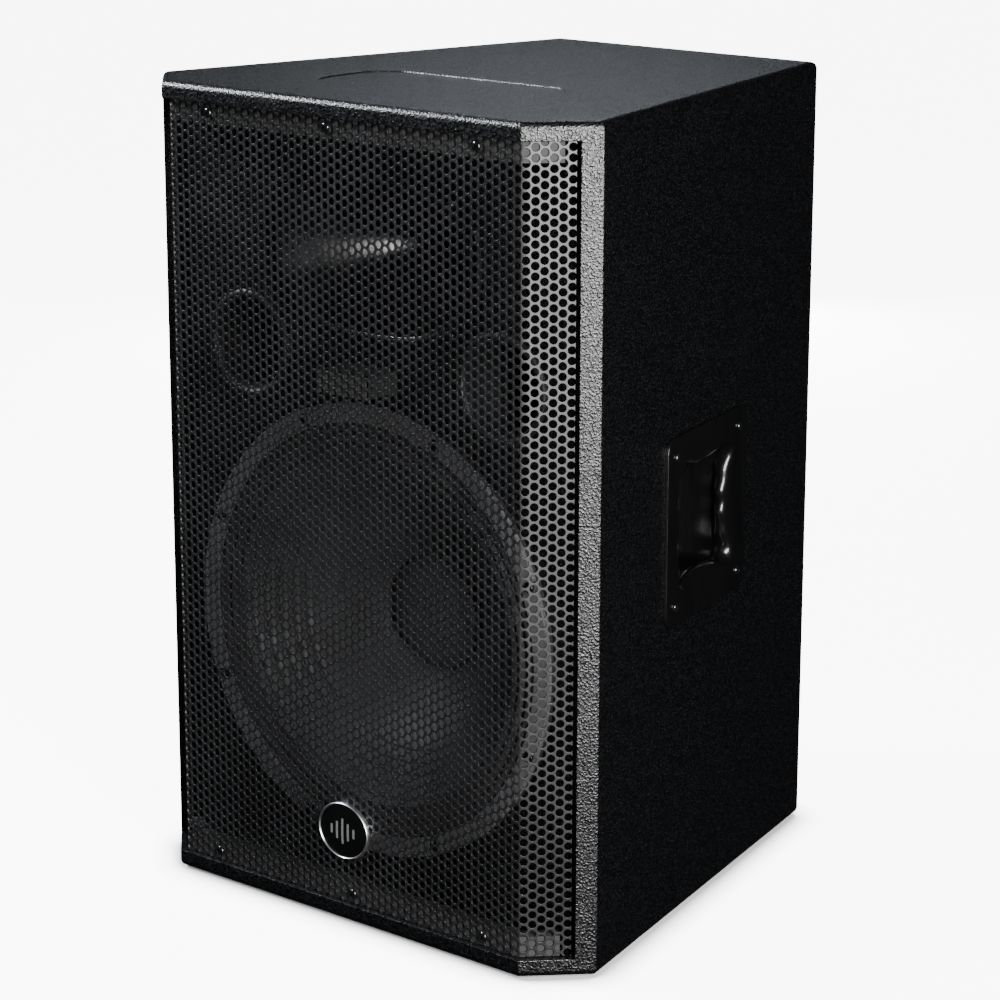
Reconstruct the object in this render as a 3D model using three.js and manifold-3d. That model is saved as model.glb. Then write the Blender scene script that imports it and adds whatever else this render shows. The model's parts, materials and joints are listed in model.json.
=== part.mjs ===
// Two-way passive PA loudspeaker cabinet: a tapered plywood box with 45 degree front corners,
// a bent steel grille, a 15 inch woofer, a horn with a compression driver and two reflex ports.
// Millimetres. X runs left to right across the front, Y runs from the front to the back, Z is up.
// The origin is the centre of the footprint, on the surface that the rubber feet stand on.
import * as THREE from 'three';
import { mergeVertices } from 'three/addons/utils/BufferGeometryUtils.js';
import Module from 'manifold-3d';

const wasm = await Module();
wasm.setup();

// ---------------------------------------------------------------- driving dimensions
const HEIGHT = 690;
const FRONT_Y = -232.5;
const REAR_Y = 227.5;
const FRONT_FLAT = 384;
const CHAMFER = 45;
const TAPER = THREE.MathUtils.degToRad(12.75);
const PANEL = 15;
const EDGE_RADIUS = 6;
const CORNER_RADIUS = 2;
const GAP = 0.3;
const FOOT_HEIGHT = 2;

const GRILLE_INSET = 4.8;
const WING_INSET = 6.4;
const WING_LENGTH = 43.2;
const GRILLE_SHEET = 1.5;
const RAIL_HEIGHT = 17;
const RAIL_DEPTH = 13;

const BAFFLE_INSET = 44;
const WOOFER_Z = 245;
const WOOFER_RADIUS = 193.5;
const WOOFER_BOLT_RADIUS = 185;
const WOOFER_CUTOUT = 174;
const HORN_Z = 559;
const HORN_HALF_WIDTH = 103.5;
const HORN_HALF_HEIGHT = 62;
const HORN_DEPTH = 105;
const THROAT_RADIUS = 12.7;
const PORT_X = 138;
const PORT_Z = 470;
const PORT_RADIUS = 37;

const HANDLE_SIZE = 160;
const HANDLE_ALONG = 200;
const HANDLE_Z = 338;
const HANDLE_DEPTH = 62;

const POLE_RADIUS = 18;
const POLE_DEPTH = 80;
const POLE_Y = -20;
const RECESS_Y = -103;
const INPUT_Z = 150;

// ---------------------------------------------------------------- places worked out from them
const BOX_LOW = FOOT_HEIGHT;
const INNER_LOW = BOX_LOW + PANEL;
const INNER_HIGH = HEIGHT - PANEL;
const HALF_FLAT = FRONT_FLAT / 2;
const HALF_WIDTH = HALF_FLAT + CHAMFER;
const SIDE_Y = FRONT_Y + CHAMFER;
const HALF_REAR = HALF_WIDTH - (REAR_Y - SIDE_Y) * Math.tan(TAPER);
const WALL_ACROSS = PANEL / Math.cos(TAPER);
const BAFFLE_Y = FRONT_Y + BAFFLE_INSET;
const GRILLE_Y = FRONT_Y + GRILLE_INSET;
const DIAGONAL = Math.SQRT1_2;
const FOLD_X = HALF_FLAT - WING_INSET / DIAGONAL + GRILLE_INSET;
const FLANGE_BACK = BAFFLE_Y - GAP;

const sideX = (y) => HALF_WIDTH - (y - SIDE_Y) * Math.tan(TAPER);
const innerX = (y) => sideX(y) - WALL_ACROSS - GAP;

// ---------------------------------------------------------------- finishes
const finish = (color, roughness, metalness) => new THREE.MeshStandardMaterial({ color, roughness, metalness });
const FINISH = {
  paint: finish(0x1d1e20, 0.75, 0),
  batten: finish(0x8f8a80, 0.85, 0),
  steelBlack: finish(0x2a2b2d, 0.45, 0.5),
  steel: finish(0xb9bcc0, 0.3, 1),
  chrome: finish(0xe6e7ea, 0.1, 1),
  gloss: finish(0x08090a, 0.15, 0),
  plastic: finish(0x17181a, 0.5, 0),
  rubber: finish(0x141414, 0.9, 0),
  gasket: finish(0x8c8d8f, 0.9, 0),
  paper: finish(0x202123, 0.85, 0),
  cloth: finish(0x1a1a1c, 0.95, 0),
  ferrite: finish(0x35363a, 0.6, 0),
  aluminium: finish(0xc0c2c5, 0.4, 1),
  copper: finish(0xb87333, 0.35, 1),
  board: finish(0x2c5d3a, 0.6, 0),
  wadding: finish(0xd8d6cf, 1, 0),
};

const cabinet = new THREE.Group();

// ---------------------------------------------------------------- solids
// A closed three.js geometry as a solid whose faces point out.
function solid(geometry) {
  const bare = geometry.clone();
  bare.deleteAttribute('normal');
  bare.deleteAttribute('uv');
  const merged = mergeVertices(bare, 1e-4);
  const vertProperties = new Float32Array(merged.attributes.position.array);
  const triVerts = new Uint32Array(merged.index.array).filter((v, i, all) => {
    const start = i - (i % 3);
    const [a, b, c] = [all[start], all[start + 1], all[start + 2]];
    return a !== b && b !== c && a !== c;
  });
  let volume = 0;
  const corner = (k) => new THREE.Vector3().fromArray(vertProperties, triVerts[k] * 3);
  for (let i = 0; i < triVerts.length; i += 3) {
    volume += corner(i).dot(corner(i + 1).cross(corner(i + 2)));
  }
  if (volume < 0) {
    for (let i = 0; i < triVerts.length; i += 3) {
      [triVerts[i], triVerts[i + 1]] = [triVerts[i + 1], triVerts[i]];
    }
  }
  return new wasm.Manifold(new wasm.Mesh({ numProp: 3, vertProperties, triVerts }));
}

const join = (first, ...others) => others.reduce((whole, piece) => whole.add(piece), first);
const cut = (first, ...tools) => tools.reduce((whole, tool) => whole.subtract(tool), first);

// Adds a solid to the cabinet as one named piece.
function add(name, body, material, place = {}) {
  const mesh = body.getMesh();
  const indexed = new THREE.BufferGeometry();
  indexed.setAttribute('position', new THREE.BufferAttribute(mesh.vertProperties, 3));
  indexed.setIndex(new THREE.BufferAttribute(mesh.triVerts, 1));
  const geometry = indexed.toNonIndexed();
  geometry.computeVertexNormals();
  const piece = new THREE.Mesh(geometry, material);
  piece.name = name;
  if (place.position) piece.position.set(...place.position);
  if (place.turn) piece.rotation.z = place.turn;
  cabinet.add(piece);
}

const outline = (points) => new THREE.Shape(points.map(([x, y]) => new THREE.Vector2(x, y)));

// A plan outline (X, Y) raised from z = low to z = high.
function prism(points, low, high) {
  const geometry = new THREE.ExtrudeGeometry(outline(points), { depth: high - low, bevelEnabled: false });
  geometry.translate(0, 0, low);
  return solid(geometry);
}

// A front outline (X, Z), given as a shape, carried back from y = front over a thickness.
function plate(shape, front, thickness, curveSegments = 8) {
  const geometry = new THREE.ExtrudeGeometry(shape, { depth: thickness, bevelEnabled: false, curveSegments });
  geometry.rotateX(Math.PI / 2);
  geometry.translate(0, front + thickness, 0);
  return solid(geometry);
}

function box(low, high) {
  const size = high.map((value, i) => value - low[i]);
  const geometry = new THREE.BoxGeometry(...size);
  geometry.translate(...high.map((value, i) => (value + low[i]) / 2));
  return solid(geometry);
}

// A closed (radius, y) profile turned about an axis that runs front to back, and widened if it is oval.
function turned(profile, x, z, segments = 32, stretch = 1) {
  const points = [...profile, profile[0]].map(([r, y]) => new THREE.Vector2(r, y));
  const geometry = new THREE.LatheGeometry(points, segments);
  geometry.scale(stretch, 1, 1);
  geometry.translate(x, 0, z);
  return solid(geometry);
}

// A closed (radius, z) profile turned about a vertical axis.
function turnedUpright(profile, x, y, segments = 32) {
  const points = [...profile, profile[0]].map(([r, z]) => new THREE.Vector2(r, z));
  const geometry = new THREE.LatheGeometry(points, segments);
  geometry.rotateX(Math.PI / 2);
  geometry.translate(x, y, 0);
  return solid(geometry);
}

const disc = (r, front, back, x, z, segments = 24) => turned([[0, front], [r, front], [r, back], [0, back]], x, z, segments);

function roundedRectangle(width, height, radius, x = 0, y = 0) {
  const shape = new THREE.Shape();
  const [right, top] = [x + width / 2 - radius, y + height / 2 - radius];
  const [left, bottom] = [x - width / 2 + radius, y - height / 2 + radius];
  shape.absarc(right, bottom, radius, -Math.PI / 2, 0);
  shape.absarc(right, top, radius, 0, Math.PI / 2);
  shape.absarc(left, top, radius, Math.PI / 2, Math.PI);
  shape.absarc(left, bottom, radius, Math.PI, 1.5 * Math.PI);
  shape.closePath();
  return shape;
}

const mirrored = (points) => points.map(([x, y]) => [-x, y]).reverse();
const bothHalves = (points) => [...points, ...mirrored(points)];

// ---------------------------------------------------------------- the box
// The whole outside of the cabinet as one prism, which every outer panel is cut from. Its upright corners are
// nearly sharp, and its top and bottom edges are rounded over.
function envelope() {
  const half = [[HALF_FLAT, FRONT_Y], [HALF_WIDTH, SIDE_Y], [HALF_REAR, REAR_Y]];
  const corners = bothHalves(half).map(([x, y]) => new THREE.Vector2(x, y));
  const rounded = new THREE.Shape();
  corners.forEach((corner, i) => {
    const before = corners[(i + corners.length - 1) % corners.length];
    const after = corners[(i + 1) % corners.length];
    const into = corner.clone().sub(before).normalize();
    const out = after.clone().sub(corner).normalize();
    const turn = Math.acos(THREE.MathUtils.clamp(into.dot(out), -1, 1));
    const back = CORNER_RADIUS * Math.tan(turn / 2);
    const start = corner.clone().addScaledVector(into, -back);
    const end = corner.clone().addScaledVector(out, back);
    if (i === 0) rounded.moveTo(start.x, start.y);
    else rounded.lineTo(start.x, start.y);
    rounded.quadraticCurveTo(corner.x, corner.y, end.x, end.y);
  });
  rounded.closePath();
  const upright = new THREE.ExtrudeGeometry(rounded, { depth: HEIGHT + PANEL, bevelEnabled: false, curveSegments: 3 });
  const bevelled = new THREE.ExtrudeGeometry(new THREE.Shape(corners), {
    depth: HEIGHT - BOX_LOW - 2 * EDGE_RADIUS,
    bevelSize: EDGE_RADIUS,
    bevelThickness: EDGE_RADIUS,
    bevelOffset: -EDGE_RADIUS,
    bevelSegments: 3,
  });
  bevelled.translate(0, 0, BOX_LOW + EDGE_RADIUS);
  return solid(bevelled).intersect(solid(upright));
}

const HANDLE_X = HALF_WIDTH - HANDLE_ALONG * Math.sin(TAPER);
const HANDLE_Y = SIDE_Y + HANDLE_ALONG * Math.cos(TAPER);

// A front outline turned to face one of the sides, from a depth inside it to a height outside it.
function onSide(shape, inside, outside, side) {
  const geometry = new THREE.ExtrudeGeometry(shape, { depth: outside + inside, bevelEnabled: false, curveSegments: 3 });
  geometry.translate(0, 0, -inside);
  geometry.rotateX(Math.PI / 2);
  geometry.rotateZ(Math.PI / 2);
  geometry.rotateZ(side > 0 ? TAPER : Math.PI - TAPER);
  geometry.translate(side * HANDLE_X, HANDLE_Y, HANDLE_Z);
  return solid(geometry);
}

const HANDLE_CUTOUT = 116;

function box_panels() {
  const outside = envelope();
  const whole = 2 * HALF_WIDTH;
  const slab = (low, high) => box([-whole, FRONT_Y - PANEL, low], [whole, REAR_Y + PANEL, high]);

  const recess = solid(new THREE.ExtrudeGeometry(roundedRectangle(214, 96, 30, 0, RECESS_Y), {
    depth: PANEL,
    bevelEnabled: false,
    curveSegments: 6,
  }).translate(0, 0, HEIGHT - 1.6));
  add('top_panel', cut(outside.intersect(slab(INNER_HIGH, HEIGHT + PANEL)), recess), FINISH.paint);

  const flangeSeat = turnedUpright([[0, BOX_LOW - 5], [48.3, BOX_LOW - 5], [48.3, BOX_LOW + 3.3], [0, BOX_LOW + 3.3]], 0, POLE_Y);
  const poleHole = turnedUpright([[0, 0], [21.5, 0], [21.5, 40], [0, 40]], 0, POLE_Y);
  const bottom = outside.intersect(slab(BOX_LOW - PANEL, INNER_LOW));
  add('bottom_panel', cut(bottom, flangeSeat, poleHole), FINISH.paint);

  // A side panel's front edge is cut at the chamfer's angle, so that it shows as the corner strip.
  const edge = PANEL / Math.sin(Math.PI / 4 + TAPER);
  for (const side of [-1, 1]) {
    const points = [
      [side * (HALF_WIDTH - edge * DIAGONAL), SIDE_Y - edge * DIAGONAL],
      [side * (HALF_WIDTH + 1), SIDE_Y - edge * DIAGONAL - 3],
      [side * (HALF_WIDTH + 1), REAR_Y + 1],
      [side * (sideX(REAR_Y + 1) - WALL_ACROSS), REAR_Y + 1],
    ];
    const wall = prism(points, INNER_LOW + GAP, INNER_HIGH - GAP).intersect(outside);
    const cutout = onSide(roundedRectangle(HANDLE_CUTOUT, HANDLE_CUTOUT, 12), 2 * PANEL, 5, side);
    add(side > 0 ? 'side_panel_right' : 'side_panel_left', cut(wall, cutout), FINISH.paint);
  }

  const rear = bothHalves([[innerX(REAR_Y - PANEL), REAR_Y - PANEL], [innerX(REAR_Y), REAR_Y]]);
  const window = box([-52, REAR_Y - 2 * PANEL, INPUT_Z - 32], [52, REAR_Y + 5, INPUT_Z + 32]);
  add('rear_panel', cut(prism(rear, INNER_LOW + GAP, INNER_HIGH - GAP), window), FINISH.paint);
}

// ---------------------------------------------------------------- baffle, rails and block
const hornOutline = (margin, power = 2.6, steps = 32) => Array.from({ length: steps }, (_, i) => {
  const angle = (i / steps) * 2 * Math.PI;
  const reach = (value, size) => Math.sign(value) * Math.abs(value) ** (2 / power) * size;
  return [reach(Math.cos(angle), HORN_HALF_WIDTH + margin), reach(Math.sin(angle), HORN_HALF_HEIGHT + margin)];
});

const HORN_FLANGE_MARGIN = 14;
const HORN_SCREWS = [[-88, 52], [88, 52], [-88, -52], [88, -52]];
const WOOFER_ANGLES = Array.from({ length: 8 }, (_, i) => (i + 0.5) * (Math.PI / 4));

function baffle() {
  const plan = bothHalves([[innerX(BAFFLE_Y), BAFFLE_Y], [innerX(BAFFLE_Y + PANEL), BAFFLE_Y + PANEL]]);
  const board = prism(plan, INNER_LOW + GAP, INNER_HIGH - GAP);
  const [front, back] = [BAFFLE_Y - 5, BAFFLE_Y + PANEL + 5];
  const hornHole = outline(hornOutline(3.5).map(([x, z]) => [x, z + HORN_Z]));
  const holes = [
    disc(WOOFER_CUTOUT + 1, front, back, 0, WOOFER_Z, 32),
    plate(hornHole, front, back - front),
    disc(PORT_RADIUS + 3, front, back, -PORT_X, PORT_Z),
    disc(PORT_RADIUS + 3, front, back, PORT_X, PORT_Z),
  ];
  for (const angle of WOOFER_ANGLES) {
    const [x, z] = [Math.cos(angle) * WOOFER_BOLT_RADIUS, WOOFER_Z + Math.sin(angle) * WOOFER_BOLT_RADIUS];
    holes.push(disc(2.8, front, back, x, z, 8));
  }
  for (const [x, z] of HORN_SCREWS) holes.push(disc(2.2, front, back, x, HORN_Z + z, 8));
  add('baffle', cut(board, ...holes), FINISH.paint);
}

// Places along the bent grille, a distance behind its front face: the fold, and a point out on the wing.
function grillePath(behind, alongWing) {
  const fold = [FOLD_X - behind * Math.tan(Math.PI / 8), GRILLE_Y + behind];
  const out = alongWing * DIAGONAL;
  const start = [FOLD_X - behind * DIAGONAL, GRILLE_Y + behind * DIAGONAL];
  return { fold, end: [start[0] + out, start[1] + out] };
}

// The plan outline between two such paths, from one wing across the front to the other.
const bentPlan = (near, far) => [
  near.fold, near.end, far.end, far.fold, [-far.fold[0], far.fold[1]], [-far.end[0], far.end[1]],
  [-near.end[0], near.end[1]], [-near.fold[0], near.fold[1]],
];

const GRILLE_SCREWS = [
  ['grille_screw_top_left', -143, 667],
  ['grille_screw_top_middle', -12, 667],
  ['grille_screw_top_right', 145, 667],
  ['grille_screw_bottom_left', -147, 26],
  ['grille_screw_bottom_middle', 9, 26],
  ['grille_screw_bottom_right', 152, 26],
];

const SCREW_HOLE = 2.3;

function grille() {
  const front = grillePath(0, WING_LENGTH);
  const back = grillePath(GRILLE_SHEET, WING_LENGTH);
  const sheet = prism(bentPlan(front, back), INNER_LOW + 0.6, INNER_HIGH - 0.6);
  const holes = GRILLE_SCREWS.map(([, x, z]) => disc(SCREW_HOLE, GRILLE_Y - 5, GRILLE_Y + 5, x, z, 8));
  add('grille', cut(sheet, ...holes), FINISH.steelBlack);
}

function grille_supports() {
  const near = grillePath(GRILLE_SHEET + GAP, WING_LENGTH - 9);
  const far = grillePath(GRILLE_SHEET + RAIL_DEPTH, WING_LENGTH - 9);
  const plan = bentPlan(near, far);
  const rows = [
    ['grille_rail_top', INNER_HIGH - GAP - RAIL_HEIGHT, INNER_HIGH - GAP],
    ['grille_rail_bottom', INNER_LOW + GAP, INNER_LOW + GAP + RAIL_HEIGHT],
  ];
  for (const [name, low, high] of rows) {
    const inside = GRILLE_SCREWS.filter(([, , z]) => z > low && z < high);
    const holes = inside.map(([, x, z]) => disc(SCREW_HOLE, GRILLE_Y, GRILLE_Y + 16, x, z, 8));
    add(name, cut(prism(plan, low, high), ...holes), FINISH.batten);
  }
  const block = box([-27, GRILLE_Y + GRILLE_SHEET + GAP, 451], [27, FLANGE_BACK, 469]);
  add('grille_block', block, FINISH.batten);
}

// A pan-head screw that points back from y = seat.
function screw(name, x, z, seat, head, length, shank, material = FINISH.steelBlack) {
  const profile = [
    [0, seat - head.height],
    [head.radius * 0.7, seat - head.height],
    [head.radius, seat - head.height * 0.45],
    [head.radius, seat],
    [shank, seat],
    [shank, seat + length],
    [0, seat + length],
  ];
  add(name, turned(profile, x, z, 12), material);
}

function grille_fixings() {
  for (const [name, x, z] of GRILLE_SCREWS) {
    screw(name, x, z, GRILLE_Y - GAP, { radius: 4.2, height: 2.6 }, 14, 2);
  }
}

const BADGE_X = 1.5;
const BADGE_Z = 81;
const BADGE_STRETCH = 1.135; // its width over its height

function badge() {
  const seat = GRILLE_Y - GAP;
  const rim = [[21.6, seat], [24.5, seat], [24.5, seat - 3], [23.4, seat - 4.2], [22, seat - 4.2], [21.6, seat - 3]];
  add('badge_rim', turned(rim, BADGE_X, BADGE_Z, 24, BADGE_STRETCH), FINISH.chrome);
  const dome = [[0, seat], [21.3, seat], [21.3, seat - 2.2], [15, seat - 3.4], [7.5, seat - 4.1], [0, seat - 4.3]];
  add('badge_dome', turned(dome, BADGE_X, BADGE_Z, 24, BADGE_STRETCH), FINISH.gloss);
}

// ---------------------------------------------------------------- woofer
const FLANGE_THICKNESS = 3.5;
const FLANGE_FRONT = FLANGE_BACK - FLANGE_THICKNESS;
const GASKET_THICKNESS = 3.4;
const GASKET_INNER = 176.2;
const CONE_RADIUS = 152;
const CONE_FRONT = FLANGE_FRONT + 3;
const COIL_RADIUS = 37.5;
const NECK_Y = CONE_FRONT + 84;
const TOP_PLATE_Y = NECK_Y + 37;
const TOP_PLATE = 10;
const MAGNET = 20;
const MAGNET_RADIUS = 92;
const POLE_PIECE = 36.2;
const WOOFER_SIDES = 32;

const woofer = (profile, segments = WOOFER_SIDES) => turned(profile, 0, WOOFER_Z, segments);

function boltHoles(radius, front, back) {
  return WOOFER_ANGLES.map((angle) => {
    const [x, z] = [Math.cos(angle) * WOOFER_BOLT_RADIUS, Math.sin(angle) * WOOFER_BOLT_RADIUS];
    return disc(radius, front, back, x, WOOFER_Z + z, 8);
  });
}

function woofer_basket() {
  const spiderRadius = 90;
  const shell = woofer([
    [170, FLANGE_FRONT],
    [WOOFER_RADIUS, FLANGE_FRONT],
    [WOOFER_RADIUS, FLANGE_BACK],
    [WOOFER_CUTOUT, FLANGE_BACK],
    [171, FLANGE_BACK + 26],
    [spiderRadius + 4, TOP_PLATE_Y - 22],
    [spiderRadius, TOP_PLATE_Y - GAP],
    [56, TOP_PLATE_Y - GAP],
    [56, TOP_PLATE_Y - 3.5],
    [spiderRadius - 4, TOP_PLATE_Y - 3.5],
    [spiderRadius, TOP_PLATE_Y - 24],
    [167, FLANGE_BACK + 24],
    [169, FLANGE_BACK],
  ]);
  const band = woofer([
    [110, TOP_PLATE_Y - 10],
    [200, TOP_PLATE_Y - 10],
    [200, FLANGE_BACK + 24],
    [150, FLANGE_BACK + 24],
    [102, TOP_PLATE_Y - 42],
  ], 24);
  const windows = Array.from({ length: 6 }, (_, i) => {
    const wedge = (angle) => [Math.cos(angle) * 260, Math.sin(angle) * 260 + WOOFER_Z];
    const middle = (i + 0.5) * (Math.PI / 3);
    const spread = Math.PI / 6 - 0.14;
    const sector = plate(outline([[0, WOOFER_Z], wedge(middle - spread), wedge(middle + spread)]), FLANGE_BACK, 200);
    return sector.intersect(band);
  });
  const body = cut(shell, ...windows, ...boltHoles(2.8, FLANGE_FRONT - 5, FLANGE_BACK + 5));
  add('woofer_basket', body, FINISH.steelBlack);
}

function woofer_gasket() {
  const back = FLANGE_FRONT - GAP;
  const ring = woofer([
    [GASKET_INNER, back],
    [WOOFER_RADIUS - 0.5, back],
    [WOOFER_RADIUS - 0.5, back - GASKET_THICKNESS],
    [GASKET_INNER, back - GASKET_THICKNESS],
  ], 48);
  const slots = WOOFER_ANGLES.map((angle) => {
    const slot = new THREE.BoxGeometry(40, GASKET_THICKNESS, 9);
    slot.translate(WOOFER_BOLT_RADIUS, back - 1 - GASKET_THICKNESS / 2, 0);
    slot.rotateY(-angle);
    slot.translate(0, 0, WOOFER_Z);
    return solid(slot);
  });
  add('woofer_gasket', cut(ring, ...slots, ...boltHoles(4.8, back - 9, back + 5)), FINISH.gasket);
}

function woofer_bolts() {
  WOOFER_ANGLES.forEach((angle, i) => {
    const [x, z] = [Math.cos(angle) * WOOFER_BOLT_RADIUS, WOOFER_Z + Math.sin(angle) * WOOFER_BOLT_RADIUS];
    screw(`woofer_bolt_${i + 1}`, x, z, FLANGE_FRONT - GAP, { radius: 4.3, height: 3.4 }, 22, 2.5);
  });
}

function woofer_moving_parts() {
  const skin = 1.2;
  const bulge = 4.5;
  const curve = (t) => [
    THREE.MathUtils.lerp(CONE_RADIUS, COIL_RADIUS + 0.6, t),
    THREE.MathUtils.lerp(CONE_FRONT, NECK_Y, t) + bulge * Math.sin(Math.PI * t),
  ];
  const steps = [0, 0.25, 0.5, 0.75, 1];
  const front = steps.map(curve);
  const back = steps.map(curve).map(([r, y]) => [r + (r < 40 ? 0 : skin * 0.6), y + skin]).reverse();
  add('woofer_cone', woofer([...front, ...back]), FINISH.paper);

  const capRadius = 48;
  const capY = curve((CONE_RADIUS - capRadius) / (CONE_RADIUS - COIL_RADIUS - 0.6))[1] - 0.6;
  const dome = (r, thickness) => [r, capY - 15 * (1 - (r / capRadius) ** 2) + thickness];
  const radii = [capRadius, 34, 18, 0];
  const cap = [...radii.map((r) => dome(r, 0)), ...radii.map((r) => dome(r, -0.9)).reverse()];
  add('dust_cap', woofer(cap, 24), FINISH.paper);

  const formerEnd = TOP_PLATE_Y + TOP_PLATE + 6;
  const windingStart = TOP_PLATE_Y - 4;
  const former = woofer([
    [COIL_RADIUS - 0.4, NECK_Y - 2],
    [COIL_RADIUS, NECK_Y - 2],
    [COIL_RADIUS, windingStart],
    [COIL_RADIUS + 0.9, windingStart],
    [COIL_RADIUS + 0.9, formerEnd],
    [COIL_RADIUS - 0.4, formerEnd],
  ], 24);
  add('voice_coil', former, FINISH.copper);
}

function woofer_suspension() {
  const sheet = 1;
  const inner = CONE_RADIUS + GAP;
  const outer = GASKET_INNER - 1.2;
  const steps = [0, 0.1, 0.25, 0.5, 0.75, 0.9, 1];
  const wave = (t) => (t < 0.2 || t > 0.8 ? 0 : 3.2 * Math.sin(t * 2 * Math.PI));
  const line = (offset) => steps.map((t) => [THREE.MathUtils.lerp(inner, outer, t), FLANGE_FRONT - 0.4 + wave(t) - offset]);
  add('woofer_surround', woofer([...line(0), ...line(sheet).reverse()]), FINISH.cloth);

  const spiderY = TOP_PLATE_Y - 26;
  const rings = [0, 1, 2, 3, 4, 5];
  const ripple = (offset) => rings.map((i) => [40 + 9.2 * i, spiderY + (i === 0 || i === 5 ? 0 : 1.6 * (-1) ** i) + offset]);
  add('spider', woofer([...ripple(0), ...ripple(0.8).reverse()], 24), FINISH.cloth);
}

function woofer_motor() {
  const plateBack = TOP_PLATE_Y + TOP_PLATE;
  const gapRadius = COIL_RADIUS + 2.2;
  const top = woofer([[gapRadius, TOP_PLATE_Y], [82, TOP_PLATE_Y], [82, plateBack], [gapRadius, plateBack]], 24);
  add('top_plate', top, FINISH.steel);
  const [front, back] = [plateBack + GAP, plateBack + GAP + MAGNET];
  add('magnet', woofer([[52, front], [MAGNET_RADIUS, front], [MAGNET_RADIUS, back], [52, back]], 24), FINISH.ferrite);
  const yoke = back + GAP;
  const pole = woofer([
    [12, TOP_PLATE_Y],
    [POLE_PIECE, TOP_PLATE_Y],
    [POLE_PIECE, yoke],
    [82, yoke],
    [82, yoke + 8],
    [78, yoke + 10],
    [12, yoke + 10],
  ], 24);
  add('back_plate', pole, FINISH.steel);
}

// ---------------------------------------------------------------- horn and compression driver
// Closed loops of equal length, each joined to the next and the last to the first.
function loft(loops) {
  const count = loops[0].length;
  const positions = loops.flat(2);
  const index = [];
  loops.forEach((_, i) => {
    const next = (i + 1) % loops.length;
    for (let k = 0; k < count; k += 1) {
      const right = (k + 1) % count;
      const [a, b, c, d] = [i * count + k, i * count + right, next * count + right, next * count + k];
      index.push(a, b, c, a, c, d);
    }
  });
  const geometry = new THREE.BufferGeometry();
  geometry.setAttribute('position', new THREE.Float32BufferAttribute(positions, 3));
  geometry.setIndex(index);
  return solid(geometry);
}

function horn() {
  const wall = 2.6;
  const throatY = FLANGE_BACK + HORN_DEPTH;
  const mouthY = FLANGE_BACK - 4;
  const loopAt = (t, grow, y) => {
    const open = (1 - t) ** 1.7;
    const power = THREE.MathUtils.lerp(2, 2.6, open);
    const half = (size) => THREE.MathUtils.lerp(THROAT_RADIUS, size, open) + grow;
    return Array.from({ length: 32 }, (_, i) => {
      const angle = (i / 32) * 2 * Math.PI;
      const reach = (value, size) => Math.sign(value) * Math.abs(value) ** (2 / power) * size;
      const x = reach(Math.cos(angle), half(HORN_HALF_WIDTH));
      return [x, y, HORN_Z + reach(Math.sin(angle), half(HORN_HALF_HEIGHT))];
    });
  };
  const flange = (y) => hornOutline(HORN_FLANGE_MARGIN).map(([x, z]) => [x, y, z + HORN_Z]);
  const steps = [0.03, 0.2, 0.5, 0.8, 1];
  const along = (t) => THREE.MathUtils.lerp(mouthY, throatY, t);
  const inner = [0, ...steps].map((t) => loopAt(t, 0, along(t)));
  const outer = steps.slice(1).map((t) => loopAt(t, wall, along(t))).reverse();
  const collar = loopAt(0.03, wall, FLANGE_BACK + 0.2);
  const body = loft([...inner, ...outer, collar, flange(FLANGE_BACK), flange(mouthY)]);
  const holes = HORN_SCREWS.map(([x, z]) => disc(2.2, mouthY - 5, FLANGE_BACK + 5, x, HORN_Z + z, 8));
  add('horn', cut(body, ...holes), FINISH.gloss);
  const names = ['top_left', 'top_right', 'bottom_left', 'bottom_right'];
  HORN_SCREWS.forEach(([x, z], i) => {
    screw(`horn_screw_${names[i]}`, x, HORN_Z + z, mouthY - GAP, { radius: 4, height: 2.6 }, 20, 2);
  });
}

function compression_driver() {
  const front = FLANGE_BACK + HORN_DEPTH + GAP;
  const seat = front + 24;
  const axis = (profile, segments = 20) => turned(profile, 0, HORN_Z, segments);
  const body = axis([
    [THROAT_RADIUS, front],
    [38, front],
    [38, front + 6],
    [52, front + 8],
    [52, seat],
    [27, seat],
    [27, seat - 9],
    [THROAT_RADIUS, seat - 12],
  ]);
  add('hf_driver_body', body, FINISH.steelBlack);
  const domed = (r) => seat - 2.4 - 5 * Math.sqrt(Math.max(0, 1 - (r / 20) ** 2));
  const radii = [20, 12, 0];
  const face = [[25.8, seat - 2.4], ...radii.map((r) => [r, domed(r)])];
  add('hf_diaphragm', axis([...face, ...face.map(([r, y]) => [r, y + 0.5]).reverse()], 20), FINISH.aluminium);
  const cover = axis([
    [44, seat + GAP],
    [51, seat + GAP],
    [51, seat + 20],
    [44, seat + 26],
    [0, seat + 26],
    [0, seat + 22],
    [42, seat + 22],
    [44, seat + 18],
  ]);
  add('hf_driver_cover', cover, FINISH.plastic);
}

// ---------------------------------------------------------------- ports, handles, socket and feet
function ports() {
  const wall = 2.6;
  for (const side of [-1, 1]) {
    const tube = turned([
      [PORT_RADIUS + 5, FLANGE_BACK - 4],
      [PORT_RADIUS + 9, FLANGE_BACK],
      [PORT_RADIUS + wall, FLANGE_BACK],
      [PORT_RADIUS + wall, FLANGE_BACK + 112],
      [PORT_RADIUS, FLANGE_BACK + 112],
      [PORT_RADIUS, FLANGE_BACK + 6],
    ], side * PORT_X, PORT_Z, 24);
    add(side > 0 ? 'port_tube_right' : 'port_tube_left', tube, FINISH.plastic);
  }
}

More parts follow.
